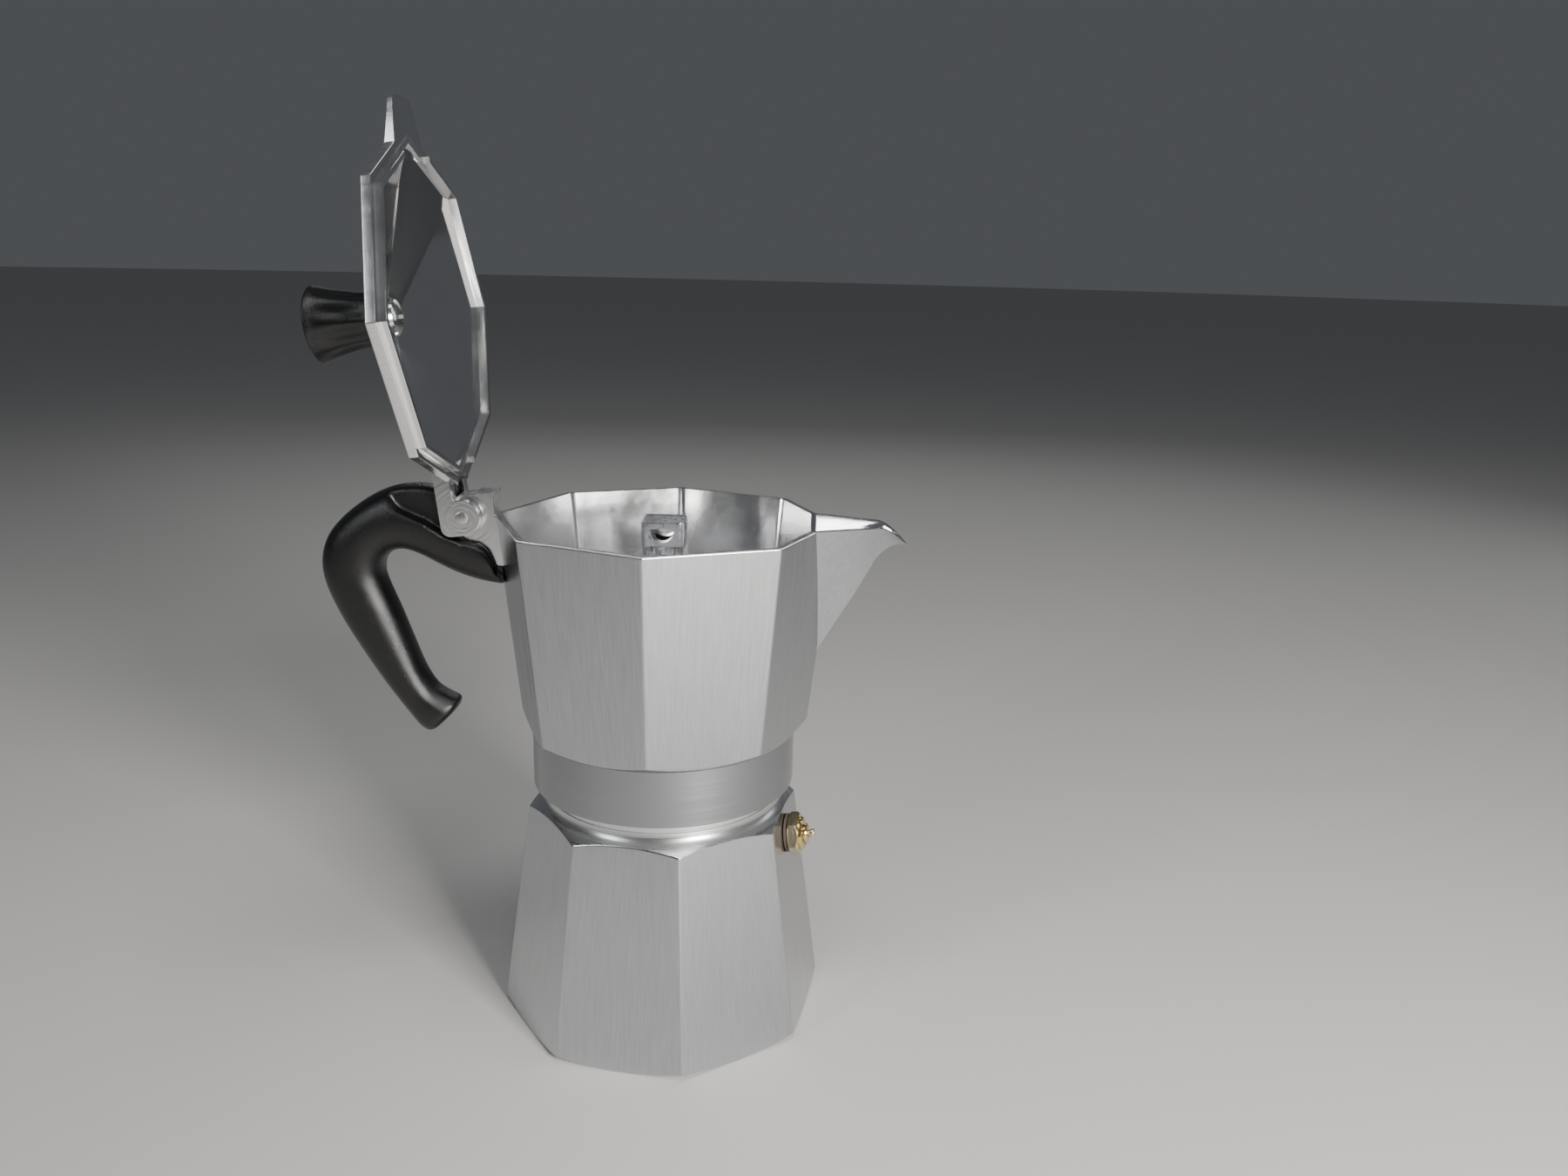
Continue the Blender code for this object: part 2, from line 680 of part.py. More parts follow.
def make_collector(metal):
    wall = COLLECTOR_WALL / math.cos(HALF_SIDE)
    seat_r = GASKET_R + 0.4
    step_z = NECK_TOP + 0.8
    rings = [
        pole(FILTER_SEAT_Z),
        circle(FILTER_R + 0.4, FILTER_SEAT_Z),
        circle(FILTER_R + 0.4, GASKET_SEAT_Z),
        circle(seat_r, GASKET_SEAT_Z),
        circle(seat_r, step_z),
        circle(SKIRT_BORE_R, step_z),
        circle(SKIRT_BORE_R, SKIRT_BOTTOM + 0.8),
        circle(SKIRT_BORE_R + 0.8, SKIRT_BOTTOM),
        circle(SKIRT_R - 0.4, SKIRT_BOTTOM),
        circle(SKIRT_R, SKIRT_BOTTOM + 0.4),
        circle(SKIRT_R, SKIRT_TOP),
        cone_cut(collector_corner_r, collector_cone_z),
        polygon(RIM_CORNER_R - 0.1, RIM_Z - 0.4),
        polygon(RIM_CORNER_R - 0.4, RIM_Z),
        pole(RIM_Z),
    ]
    collector = add_piece("collector", skin(rings), metal)
    low = COLLECTOR_FLOOR_Z + 3.0
    cavity = [
        pole(COLLECTOR_FLOOR_Z),
        polygon(collector_corner_r(low) - wall - 3.0, COLLECTOR_FLOOR_Z),
        polygon(collector_corner_r(low) - wall, low),
        polygon(RIM_CORNER_R - wall, RIM_Z),
        polygon(RIM_CORNER_R - wall, RIM_Z + 2.0),
        pole(RIM_Z + 2.0),
    ]
    bore_r = COLUMN_SHANK_R + GAP
    floor_hole = turned(((0, 95.0), (bore_r, 95.0), (bore_r, 110.0), (0, 110.0)), SMALL)
    ridge = thread_ridge(SKIRT_BORE_R, True, THREAD_START + PITCH / 2, THREAD_TURNS)
    combine(collector, "UNION", add_tool("tool_spout", make_spout_solid()))
    combine(collector, "UNION", add_tool("tool_lug", prism(lug_outline(0.0), LUG_HALF)))
    combine(collector, "DIFFERENCE", add_tool("tool_cavity", skin(cavity)))
    combine(collector, "DIFFERENCE", add_tool("tool_channel", make_spout_channel()))
    combine(collector, "DIFFERENCE", add_tool("tool_floor_hole", floor_hole))
    combine(collector, "UNION", add_tool("tool_skirt_thread", ridge))
    combine(collector, "DIFFERENCE", add_tool("tool_lug_bore", pin_drill(PIN_R + GAP, LUG_HALF + 3.0)))
    combine(collector, "DIFFERENCE", add_tool("tool_lug_tap", handle_screw_drill(8.0)))
    return collector


def pin_drill(radius, half):
    """A cylinder along the hinge pin's axis."""
    rings = [
        [Vector((PIN_X + radius * math.cos(a), y, PIN_Z + radius * math.sin(a))) for a in columns(SMALL)]
        for y in (-half, half)
    ]
    return skin(rings)


# ---- column ----------------------------------------------------------------------------------------
def fluted(radius, z):
    depth = FLUTE_DEPTH / 2
    return [
        polar(radius - depth * (1 - math.cos(COLUMN_FLUTES * angle)), angle, z)
        for angle in columns(COLUMNS)
    ]


def make_column(metal):
    foot_z_low = COLLECTOR_FLOOR_Z + GAP
    head_low = RIM_Z - HEAD_H
    rings = [
        circle(COLUMN_SHANK_R, FILTER_SEAT_Z + GAP),
        circle(COLUMN_SHANK_R, foot_z_low),
        circle(COLUMN_FOOT_R, foot_z_low),
        circle(COLUMN_FOOT_R, foot_z_low + 1.0),
        fluted(COLUMN_BASE_R, foot_z_low + 4.0),
        fluted(COLUMN_TOP_R, head_low + 0.6),
    ]
    column = add_piece("column", skin(rings), metal)
    half = HEAD_WIDTH / 2
    head = box((-half, -half, head_low), (half, half, RIM_Z))
    window_top = RIM_Z - HEAD_ROOF
    window_low = window_top - WINDOW_H
    wide = WINDOW_WIDTH / 2
    window = [
        (wide, window_top),
        (-wide, window_top),
        *arc((0.0, window_low + wide), wide, 180.0, 360.0, 9),
    ]
    bore = turned(
        ((0, 90.0), (COLUMN_BORE_R, 90.0), (COLUMN_BORE_R, window_top - 0.1), (0, window_top - 0.1)), SMALL
    )
    combine(column, "UNION", add_tool("tool_head", head))
    combine(column, "DIFFERENCE", add_tool("tool_window", prism(window, HEAD_WIDTH)))
    combine(column, "DIFFERENCE", add_tool("tool_column_bore", bore))


# ---- handle ----------------------------------------------------------------------------------------
def between(a, b, c, d, t):
    """Catmull-Rom value between b and c."""
    return 0.5 * (2 * b + (c - a) * t + (2 * a - 5 * b + 4 * c - d) * t * t + (3 * (b - c) + d - a) * t**3)


def handle_rows():
    """The stations' five numbers, smoothly filled in between."""
    rows = []
    for (outer_x, outer_z), (inner_x, inner_z), half in HANDLE_STATIONS:
        rows.append((outer_x - RIM_CORNER_R, outer_z + RIM_Z, inner_x - RIM_CORNER_R, inner_z + RIM_Z, half))
    rows = [rows[0], *rows, rows[-1]]
    filled = []
    for a, b, c, d in zip(rows, rows[1:], rows[2:], rows[3:]):
        for step in range(HANDLE_STEPS):
            t = step / HANDLE_STEPS
            filled.append([between(*values, t) for values in zip(a, b, c, d)])
    filled.append(rows[-1])
    return filled


def handle_section(row, shrink=1.0, push=0.0):
    """An oval between an outer and an inner edge point, pushed back along the handle by push."""
    outer = Vector((row[0], 0.0, row[1]))
    inner = Vector((row[2], 0.0, row[3]))
    middle = (outer + inner) / 2
    up = (outer - inner) / 2 * shrink
    ahead = Vector((up.z, 0.0, -up.x)).normalized() * push
    ring = []
    for angle in columns(HANDLE_SECTION):
        c, s = math.cos(angle), math.sin(angle)
        across = math.copysign(abs(c) ** (2 / SECTION_POWER), c) * row[4] * shrink
        along = math.copysign(abs(s) ** (2 / SECTION_POWER), s)
        ring.append(middle + ahead + up * along + Vector((0.0, across, 0.0)))
    return ring


def make_handle(phenolic):
    rows = handle_rows()
    rings = [handle_section(rows[0], 0.9, 1.0)]
    rings += [handle_section(row) for row in rows]
    rings.append(handle_section(rows[-1], 0.88, -1.4))
    rings.append(handle_section(rows[-1], 0.6, -2.0))
    handle = add_piece("handle", skin(rings), phenolic)
    clear = 0.35
    body = [
        polygon(collector_corner_r(z) + clear, z) for z in (COLLECTOR_BOTTOM_CORNER_Z, RIM_Z, RIM_Z + 30.0)
    ]
    lug_clear = lug_outline(GAP)
    lug_clear[2] = (lug_clear[2][0], PIN_Z + 30.0)
    lug_clear[3] = (PIN_X - LUG_ROUND_R - GAP, PIN_Z + 30.0)
    slot = [lug_clear[0], lug_clear[1], lug_clear[2], lug_clear[3], *lug_clear[9:]]
    scoop = [
        (PIN_X + 24.9, RIM_Z + 30.0),
        (PIN_X + 24.9, RIM_Z - 23.0),
        (PIN_X + 10.2, RIM_Z - 20.0),
        (PIN_X + 8.9, RIM_Z - 15.5),
        (PIN_X + 7.0, RIM_Z - 11.5),
        (PIN_X + 4.0, RIM_Z - 9.3),
        (PIN_X, RIM_Z - 8.7),
        (PIN_X - 5.8, RIM_Z - 6.5),
        (PIN_X - 12.3, RIM_Z - 2.3),
        *arc((SCOOP_BACK + SCOOP_ROUND_R, RIM_Z + 9.0), SCOOP_ROUND_R, 255.0, 180.0, 6),
        (SCOOP_BACK, RIM_Z + 30.0),
    ]
    combine(handle, "DIFFERENCE", add_tool("tool_body_clear", skin(body)))
    combine(handle, "DIFFERENCE", add_tool("tool_slot", prism(slot, LUG_HALF + GAP)))
    for side in (-1, 1):
        near, far = sorted((side * LUG_HALF, side * 20.0))
        rings = [[Vector((x, y, z)) for x, z in scoop] for y in (near, far)]
        combine(handle, "DIFFERENCE", add_tool(f"tool_scoop_{side + 1}", skin(rings)))
    combine(handle, "DIFFERENCE", add_tool("tool_handle_drill", handle_screw_drill(0.0)))


def handle_screw_drill(above):
    """Clearance for the handle's screw: a counterbore under the handle and a hole up into the lug."""
    head_r = HANDLE_SCREW_R + 2.0
    hole_r = HANDLE_SCREW_R + GAP
    head_top = HANDLE_SCREW_HEAD_Z + GAP
    end = HANDLE_SCREW_HEAD_Z + 14.1
    low = head_top - 16.6
    profile = ((0, low), (head_r, low), (head_r, head_top), (hole_r, head_top), (hole_r, end), (0, end))
    drill = turned(profile, SMALL)
    bmesh.ops.translate(drill, vec=(HANDLE_SCREW_X, 0.0, 0.0), verts=drill.verts)
    return drill


def make_handle_screw(steel):
    head_top = HANDLE_SCREW_HEAD_Z
    head_r = HANDLE_SCREW_R + 1.6
    profile = (
        (0, head_top - 2.2),
        (head_r - 0.4, head_top - 2.2),
        (head_r, head_top - 1.8),
        (head_r, head_top),
        (HANDLE_SCREW_R, head_top),
        (HANDLE_SCREW_R, head_top + 13.1),
        (HANDLE_SCREW_R - 0.6, head_top + 13.7),
        (0, head_top + 13.7),
    )
    screw = turned(profile, SMALL)
    bmesh.ops.translate(screw, vec=(HANDLE_SCREW_X, 0.0, 0.0), verts=screw.verts)
    add_piece("handle_screw", screw, steel)


# ---- lid, drawn shut with the pin at the origin ----------------------------------------------------
def lid_ring(corner_radius, out):
    return [p + Vector((-PIN_X, 0.0, 0.0)) for p in polygon(corner_radius, out, SIDES)]


def lid_pole(out):
    return [Vector((-PIN_X, 0.0, out))]


def make_lid(metal, axis):
    top = GAP + LID_FLANGE_T
    seat = LID_APEX
    inner_seat = LID_APEX - LID_SHEET
    rings = [
        lid_pole(seat),
        lid_ring(LID_SEAT_R, seat),
        lid_ring(LID_CORNER_R - 0.9, top + 0.5),
        lid_ring(LID_CORNER_R, top - 0.3),
        lid_ring(LID_CORNER_R, GAP),
        lid_ring(LID_INNER_R, GAP),
        lid_ring(LID_SEAT_R, inner_seat),
        lid_pole(inner_seat),
    ]
    lid = add_piece("lid", skin(rings), metal, axis)

    lip = [
        lid_ring(LIP_R, -LIP_DROP + GAP),
        lid_ring(LIP_R, 2.0),
        lid_ring(LIP_INNER_R, 2.6),
        lid_ring(LIP_INNER_R, -LIP_DROP + GAP),
    ]
    lip_tool = add_tool("tool_lip", skin(lip, closed=True), axis)
    gap_low, gap_high = -LIP_DROP - 1.0, GAP + 0.02
    hinge_gap = add_tool("tool_lip_hinge_gap", box((0, -9.0, gap_low), (20.0, 9.0, gap_high)), axis)
    front = RIM_CORNER_R - PIN_X
    beak_box = box((front - 16.7, -13.0, gap_low), (front + 3.3, 13.0, gap_high))
    beak_gap = add_tool("tool_lip_beak_gap", beak_box, axis)

    tip = BEAK_TIP - PIN_X
    root = RIM_CORNER_R - PIN_X - 9.5
    beak = [
        ((root, 14.0), top + 1.4),
        ((LID_CORNER_R - PIN_X - 5.2, BEAK_ROOT_HALF), top),
        ((tip - 1.2, BEAK_TIP_HALF), GAP + BEAK_TIP_T + 0.2),
        ((tip, BEAK_TIP_HALF * 0.55), GAP + BEAK_TIP_T),
    ]
    under = [Vector((x, y, GAP)) for (x, y), _ in beak]
    over = [Vector((x, y, z)) for (x, y), z in beak]
    under += [Vector((p.x, -p.y, p.z)) for p in reversed(under)]
    over += [Vector((p.x, -p.y, p.z)) for p in reversed(over)]
    beak_tool = add_tool("tool_beak", skin([under, over]), axis)
    hollow = [
        lid_ring(LID_INNER_R, GAP - 1.0),
        lid_ring(LID_INNER_R, GAP),
        lid_ring(LID_SEAT_R, inner_seat),
        lid_pole(inner_seat),
    ]
    hollow_tool = add_tool("tool_lid_hollow", skin(hollow), axis)

    ear = [
        (EAR_ARM_END, 4.3),
        (EAR_ARM_END, 6.1),
        (13.0, EAR_TOP),
        *arc((-EAR_R + 3.0, EAR_TOP - 3.0), 3.0, 90.0, 180.0, 5),
        *arc((0.0, 0.0), EAR_R, 180.0, 380.0, 13),
        (EAR_R, EAR_UNDER),
        (11.6, EAR_UNDER),
    ]
    ears = []
    for side in (-1, 1):
        inner = side * (LUG_HALF + GAP)
        near, far = sorted((inner, inner + side * EAR_T))
        rings = [[Vector((x, y, z)) for x, z in ear] for y in (near, far)]
        ears.append(add_tool(f"tool_ear_{side + 1}", skin(rings), axis))
    notch = skin(
        [
            [Vector((NOTCH_R * math.cos(a), y, NOTCH_R * math.sin(a))) for a in columns(FINE)]
            for y in (-LUG_HALF - GAP, LUG_HALF + GAP)
        ]
    )
    bore = skin(
        [
            [Vector(((PIN_R + GAP) * math.cos(a), y, (PIN_R + GAP) * math.sin(a))) for a in columns(SMALL)]
            for y in (-20.0, 20.0)
        ]
    )
    hole_r = SCREW_R + GAP
    screw_hole = turned(((0, 0.0), (hole_r, 0.0), (hole_r, 25.0), (0, 25.0)), SMALL)
    bmesh.ops.translate(screw_hole, vec=(-PIN_X, 0.0, 0.0), verts=screw_hole.verts)
    combine(lip_tool, "DIFFERENCE", hinge_gap, beak_gap)
    combine(beak_tool, "DIFFERENCE", hollow_tool)
    combine(lid, "UNION", beak_tool, lip_tool, *ears)
    combine(lid, "DIFFERENCE", add_tool("tool_notch", notch, axis))
    combine(lid, "DIFFERENCE", add_tool("tool_ear_bore", bore, axis))
    combine(lid, "DIFFERENCE", add_tool("tool_screw_hole", screw_hole, axis))


def make_hinge_pin(steel, axis):
    half = LUG_HALF + GAP + EAR_T + 0.3
    profile = ((0, -half), (PIN_R - 0.4, -half), (PIN_R, -half + 0.4))
    profile += tuple((radius, -z) for radius, z in reversed(profile))
    pin = turned(profile, SMALL)
    for vertex in pin.verts:
        vertex.co = Vector((vertex.co.x, vertex.co.z, -vertex.co.y))
    add_piece("hinge_pin", pin, steel, axis)


# ---- knob ------------------------------------------------------------------------------------------
def make_knob(phenolic, brass, steel, axis):
    seat = LID_APEX + GAP
    rows = 8

    def on_centre(mesh):
        bmesh.ops.translate(mesh, vec=(-PIN_X, 0.0, 0.0), verts=mesh.verts)
        return mesh

    rings = [pole(seat), circle(KNOB_NECK_R - 0.5, seat, FINE * 4 // 3)]
    for i in range(rows + 1):
        share = i / rows
        radius = KNOB_NECK_R + (KNOB_END_R - KNOB_NECK_R) * share**1.8
        depth = KNOB_FLUTE_DEPTH * math.sin(math.pi * min(1.0, share * 1.05)) ** 0.8 / 2
        z = seat + 0.5 + (KNOB_H - 1.7) * share
        rings.append(
            [
                polar(radius - depth * (1 - math.cos(KNOB_FLUTES * angle)), angle, z)
                for angle in columns(FINE * 4 // 3)
            ]
        )
    end = seat + KNOB_H
    rings.append(circle(KNOB_END_R - 1.0, end - 0.4, FINE * 4 // 3))
    rings.append(circle(KNOB_END_R * 0.5, end + 0.5, FINE * 4 // 3))
    rings.append(pole(end + 0.7))
    knob = add_piece("lid_knob", on_centre(skin(rings)), phenolic, axis)
    socket_r = INSERT_R + GAP
    socket_top = seat + GAP + INSERT_H + 1.0
    socket = turned(((0, seat - 1), (socket_r, seat - 1), (socket_r, socket_top), (0, socket_top)), SMALL)
    combine(knob, "DIFFERENCE", add_tool("tool_knob_socket", on_centre(socket), axis))

    low = seat + GAP
    high = low + INSERT_H
    bore_r = SCREW_R + GAP
    insert = ((bore_r, low), (INSERT_R, low), (INSERT_R, high), (bore_r, high))
    add_piece("knob_insert", on_centre(turned(insert, SMALL, closed=True)), brass, axis)

    head_top = LID_APEX - LID_SHEET - GAP
    head_low = head_top - SCREW_HEAD_H
    profile = (
        (0, head_low),
        (SCREW_HEAD_R * 0.55, head_low + 0.2),
        (SCREW_HEAD_R - 0.7, head_low + 0.9),
        (SCREW_HEAD_R, head_top - 0.3),
        (SCREW_HEAD_R, head_top),
        (SCREW_R, head_top),
        (SCREW_R, high - 1.2),
        (SCREW_R - 0.6, high - 0.6),
        (0, high - 0.6),
    )
    add_piece("knob_screw", on_centre(turned(profile, SMALL)), steel, axis)


def main():
    for old in list(bpy.data.objects):
        bpy.data.objects.remove(old)
    aluminium = make_material("cast_aluminium", (0.60, 0.60, 0.61), 0.3, 1.0)
    boiler_metal = make_material("brushed_aluminium", (0.55, 0.55, 0.56), 0.35, 1.0)
    lid_metal = make_material("polished_aluminium", (0.68, 0.68, 0.69), 0.15, 1.0)
    column_metal = make_material("column_aluminium", (0.66, 0.66, 0.67), 0.2, 1.0)
    sheet = make_material("drawn_aluminium_sheet", (0.64, 0.64, 0.65), 0.4, 1.0)
    brass = make_material("turned_brass", (0.72, 0.52, 0.22), 0.25, 1.0)
    steel = make_material("steel", (0.58, 0.57, 0.56), 0.3, 1.0)
    phenolic = make_material("black_phenolic", (0.012, 0.012, 0.012), 0.38, 0.0)
    rubber = make_material("pale_rubber", (0.75, 0.73, 0.68), 0.7, 0.0)
    fibre = make_material("dark_fibre", (0.05, 0.04, 0.035), 0.8, 0.0)

    valve_axis = make_valve_axis()
    lid_axis = add_empty("lid_axis", (PIN_X, 0.0, PIN_Z), (0.0, -math.radians(LID_OPEN), 0.0))
    make_boiler(boiler_metal, valve_axis)
    make_valve(valve_axis, brass, steel, rubber, fibre)
    make_funnel(sheet)
    make_gasket(rubber)
    make_filter_plate(sheet)
    make_collector(aluminium)
    make_column(column_metal)
    make_handle(phenolic)
    make_handle_screw(steel)
    make_lid(lid_metal, lid_axis)
    make_hinge_pin(steel, lid_axis)
    make_knob(phenolic, brass, steel, lid_axis)


TOOL_MATERIAL = make_material("tool", (0.8, 0.2, 0.2), 0.5, 0.0)
main()
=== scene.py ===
"""The looks of an eight-sided stove-top moka pot with its lid open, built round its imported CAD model.

Sizes are written in millimetres and turned into metres when a mesh is made. Pieces are placed from the
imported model's own boxes and joints.
"""

import json
import math

import bmesh
import bpy
from mathutils import Matrix, Vector


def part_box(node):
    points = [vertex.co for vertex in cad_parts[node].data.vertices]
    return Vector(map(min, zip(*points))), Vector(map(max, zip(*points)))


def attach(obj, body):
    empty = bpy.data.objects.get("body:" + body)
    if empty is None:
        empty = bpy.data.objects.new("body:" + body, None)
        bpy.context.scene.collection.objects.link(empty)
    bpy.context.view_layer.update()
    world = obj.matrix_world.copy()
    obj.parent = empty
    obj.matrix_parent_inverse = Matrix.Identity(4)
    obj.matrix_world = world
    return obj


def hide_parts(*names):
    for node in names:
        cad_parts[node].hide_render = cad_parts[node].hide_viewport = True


bl_info = {
    "name": "Moka pot looks",
    "version": (1, 0, 0),
    "blender": (4, 5, 0),
    "location": "3D View > Sidebar > Moka pot",
    "description": "Builds the visible pieces and finishes of a moka pot round its packed CAD model",
    "category": "Object",
}

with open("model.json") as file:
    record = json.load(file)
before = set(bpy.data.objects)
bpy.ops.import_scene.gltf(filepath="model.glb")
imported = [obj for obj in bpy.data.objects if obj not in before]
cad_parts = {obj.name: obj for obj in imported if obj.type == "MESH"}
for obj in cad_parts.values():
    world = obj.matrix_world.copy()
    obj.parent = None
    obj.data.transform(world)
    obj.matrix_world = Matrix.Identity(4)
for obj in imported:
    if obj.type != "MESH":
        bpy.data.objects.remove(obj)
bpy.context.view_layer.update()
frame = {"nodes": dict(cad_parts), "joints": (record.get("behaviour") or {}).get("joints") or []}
JOINTS = {joint["name"]: joint for joint in frame["joints"]}

MM = 0.001
SIDES = 8
HALF_SIDE = math.pi / SIDES
COLUMNS = 96  # mesh columns round a faceted body, a multiple of SIDES
SMALL = 48  # sides of a small turned part, a multiple of 6

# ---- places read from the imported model, in mm (LID_OPEN in degrees)
PIN = Vector(JOINTS["lid_hinge"]["pos_m"]) / MM
LID_OPEN = JOINTS["lid_hinge"]["range_deg"][1]
RIM_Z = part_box("column")[1].z / MM
NECK_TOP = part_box("boiler")[1].z / MM
SKIRT_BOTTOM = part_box("collector")[0].z / MM
VALVE_DIRECTION = Vector(JOINTS["valve_plunge"]["axis"]).normalized()

# ---- sizes that several pieces share, in mm
PITCH = 3.0
THREAD_START = 86.4
THREAD_TURNS = 2.6
LUG_HALF = 5.25
LUG_GAP = 0.3  # between the lug and what moves beside it
PIN_HOLE_R = 1.8
HANDLE_SCREW_X = -62.5
HANDLE_SCREW_TOP = 170.4
HANDLE_SCREW_HOLE_R = 2.2


# ---- mesh helpers ----------------------------------------------------------------------------------
def polar(radius, angle, z):
    return Vector((radius * math.cos(angle), radius * math.sin(angle), z))


def columns(count, turn=0.0):
    return [math.tau * i / count + math.radians(turn) for i in range(count)]


def circle(radius, z, count=COLUMNS, turn=0.0):
    return [polar(radius, angle, z) for angle in columns(count, turn)]


def polygon_radius(corner_radius, angle, sides=SIDES):
    """Distance from the axis to the edge of a polygon that has a corner at angle 0."""
    half = math.pi / sides
    return corner_radius * math.cos(half) / math.cos(angle % (2 * half) - half)


def polygon(corner_radius, z, count=COLUMNS, turn=0.0):
    turn = math.radians(turn)
    return [polar(polygon_radius(corner_radius, angle), angle + turn, z) for angle in columns(count)]


def cone_cut(corner_radius_at, cone_z_at, turn=0.0):
    """The ring where tapered facets meet a turned cone."""
    ring = []
    for angle in columns(COLUMNS):
        z = cone_z_at(corner_radius_at(0.0))
        for _ in range(6):
            radius = polygon_radius(corner_radius_at(z), angle)
            z = cone_z_at(radius)
        ring.append(polar(radius, angle + math.radians(turn), z))
    return ring


def pole(z):
    return [Vector((0.0, 0.0, z))]


def skin(bands, closed=False):
    """A closed mesh through rings of equally many points, or of one point at a pole.

    Each band is a ring and the finish of the faces after it.
    """
    mesh = bmesh.new()
    loops = [[mesh.verts.new(point) for point in ring] for ring, _ in bands]
    finishes = [finish for _, finish in bands]
    pairs = list(zip(loops, loops[1:], finishes))
    if closed:
        pairs.append((loops[-1], loops[0], finishes[-1]))
    for low, high, finish in pairs:
        count = max(len(low), len(high))
        for i in range(count):
            j = (i + 1) % count
            corners = (low[i % len(low)], low[j % len(low)], high[j % len(high)], high[i % len(high)])
            face = mesh.faces.new(list(dict.fromkeys(corners)))
            face.material_index = finish
    if not closed:
        for end, finish in ((loops[0], finishes[0]), (loops[-1], finishes[-1])):
            if len(end) > 2:
                face = mesh.faces.new(end)
                face.material_index = finish
    bmesh.ops.recalc_face_normals(mesh, faces=mesh.faces)
    return mesh


def same(rings, finish=0):
    return [(ring, finish) for ring in rings]


def turned(profile, count=SMALL, closed=False, finish=0):
    """A body of revolution about Z."""
    rings = [circle(radius, z, count) if radius > 0 else pole(z) for radius, z in profile]
    return skin(same(rings, finish), closed)


def rod(radius, low, high, finish=0):
    return turned(((0, low), (radius, low), (radius, high), (0, high)), finish=finish)


def prism(outline, near, far, finish=0):
    """An outline of (x, z) points stretched along Y from near to far."""
    rings = [[Vector((x, y, z)) for x, z in outline] for y in (near, far)]
    return skin(same(rings, finish))


def block(low, high, finish=0):
    outline = ((low[0], low[2]), (high[0], low[2]), (high[0], high[2]), (low[0], high[2]))
    return prism(outline, low[1], high[1], finish)


def arc(centre, radius, start, end, count):
    """Points on an arc in a plane, from one angle in degrees to another."""
    step = (end - start) / (count - 1)
    angles = [math.radians(start + step * i) for i in range(count)]
    return [(centre[0] + radius * math.cos(a), centre[1] + radius * math.sin(a)) for a in angles]


def shift(mesh, offset):
    bmesh.ops.translate(mesh, vec=offset, verts=mesh.verts)
    return mesh


def lay_along_y(mesh):
    """Turns a body made about Z so that it lies along Y."""
    bmesh.ops.rotate(mesh, matrix=Matrix.Rotation(math.radians(90), 3, "X"), verts=mesh.verts)
    return mesh


def round_edges(mesh, width, steps=2, angle=30.0, where=None):
    """Rounds the edges that turn by more than angle, those that where(midpoint) picks."""
    chosen = []
    for edge in mesh.edges:
        if len(edge.link_faces) != 2 or edge.calc_face_angle(0.0) < math.radians(angle):
            continue
        middle = (edge.verts[0].co + edge.verts[1].co) / 2
        if where is None or where(middle):
            chosen.append(edge)
    bmesh.ops.bevel(
        mesh,
        geom=chosen,
        offset=width,
        segments=steps,
        profile=0.5,
        affect="EDGES",
        clamp_overlap=True,
        material=-1,
    )
    return mesh


def between(a, b, c, d, t):
    """Catmull-Rom value between b and c."""
    return 0.5 * (2 * b + (c - a) * t + (2 * a - 5 * b + 4 * c - d) * t * t + (3 * (b - c) + d - a) * t**3)


def filled_in(rows, steps):
    """Rows of numbers with steps - 1 smooth rows between each two."""
    rows = [rows[0], *rows, rows[-1]]
    result = []
    for a, b, c, d in zip(rows, rows[1:], rows[2:], rows[3:]):
        for step in range(steps):
            result.append([between(*values, step / steps) for values in zip(a, b, c, d)])
    result.append(list(rows[-1]))
    return result


# ---- object helpers --------------------------------------------------------------------------------
def add_object(name, mesh_in_mm, materials, matrix=None):
    """A linked object whose mesh is turned into metres in its own axes."""
    bmesh.ops.scale(mesh_in_mm, vec=(MM, MM, MM), verts=mesh_in_mm.verts)
    mesh = bpy.data.meshes.new(name)
    mesh_in_mm.to_mesh(mesh)
    mesh_in_mm.free()
    for material in materials:
        mesh.materials.append(material)
    piece = bpy.data.objects.new(name, mesh)
    piece.matrix_world = matrix or Matrix.Identity(4)
    bpy.context.scene.collection.objects.link(piece)
    return piece


def in_mm(matrix):
    """The same placement for a mesh that is still in millimetres."""
    scaled = matrix.copy()
    scaled.translation = matrix.translation / MM
    return scaled


def apply_modifier(piece, kind, **settings):
    modifier = piece.modifiers.new(kind, kind)
    for key, value in settings.items():
        setattr(modifier, key, value)
    bpy.context.view_layer.update()
    evaluated = piece.evaluated_get(bpy.context.evaluated_depsgraph_get())
    mesh = bpy.data.meshes.new_from_object(evaluated)
    piece.modifiers.clear()
    old = piece.data
    piece.data = mesh
    bpy.data.meshes.remove(old)


def combine(piece, operation, *tools):
    """Adds or cuts tool meshes, given in the piece's own axes. Their faces keep their finishes."""
    for mesh_in_mm in tools:
        bmesh.ops.recalc_face_normals(mesh_in_mm, faces=mesh_in_mm.faces)
        tool = add_object("tool", mesh_in_mm, piece.data.materials, piece.matrix_world.copy())
        apply_modifier(piece, "BOOLEAN", operation=operation, solver="EXACT", object=tool)
        bpy.data.objects.remove(tool)


def settle(piece, body, nodes, crease=28.0):
    """Shades a finished piece, and says what it rides on and what it stands for."""
    piece.data.shade_smooth()
    piece.data.set_sharp_from_angle(angle=math.radians(crease))
    apply_modifier(piece, "WEIGHTED_NORMAL", keep_sharp=True, weight=60)
    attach(piece, body)
    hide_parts(*nodes)
    return piece


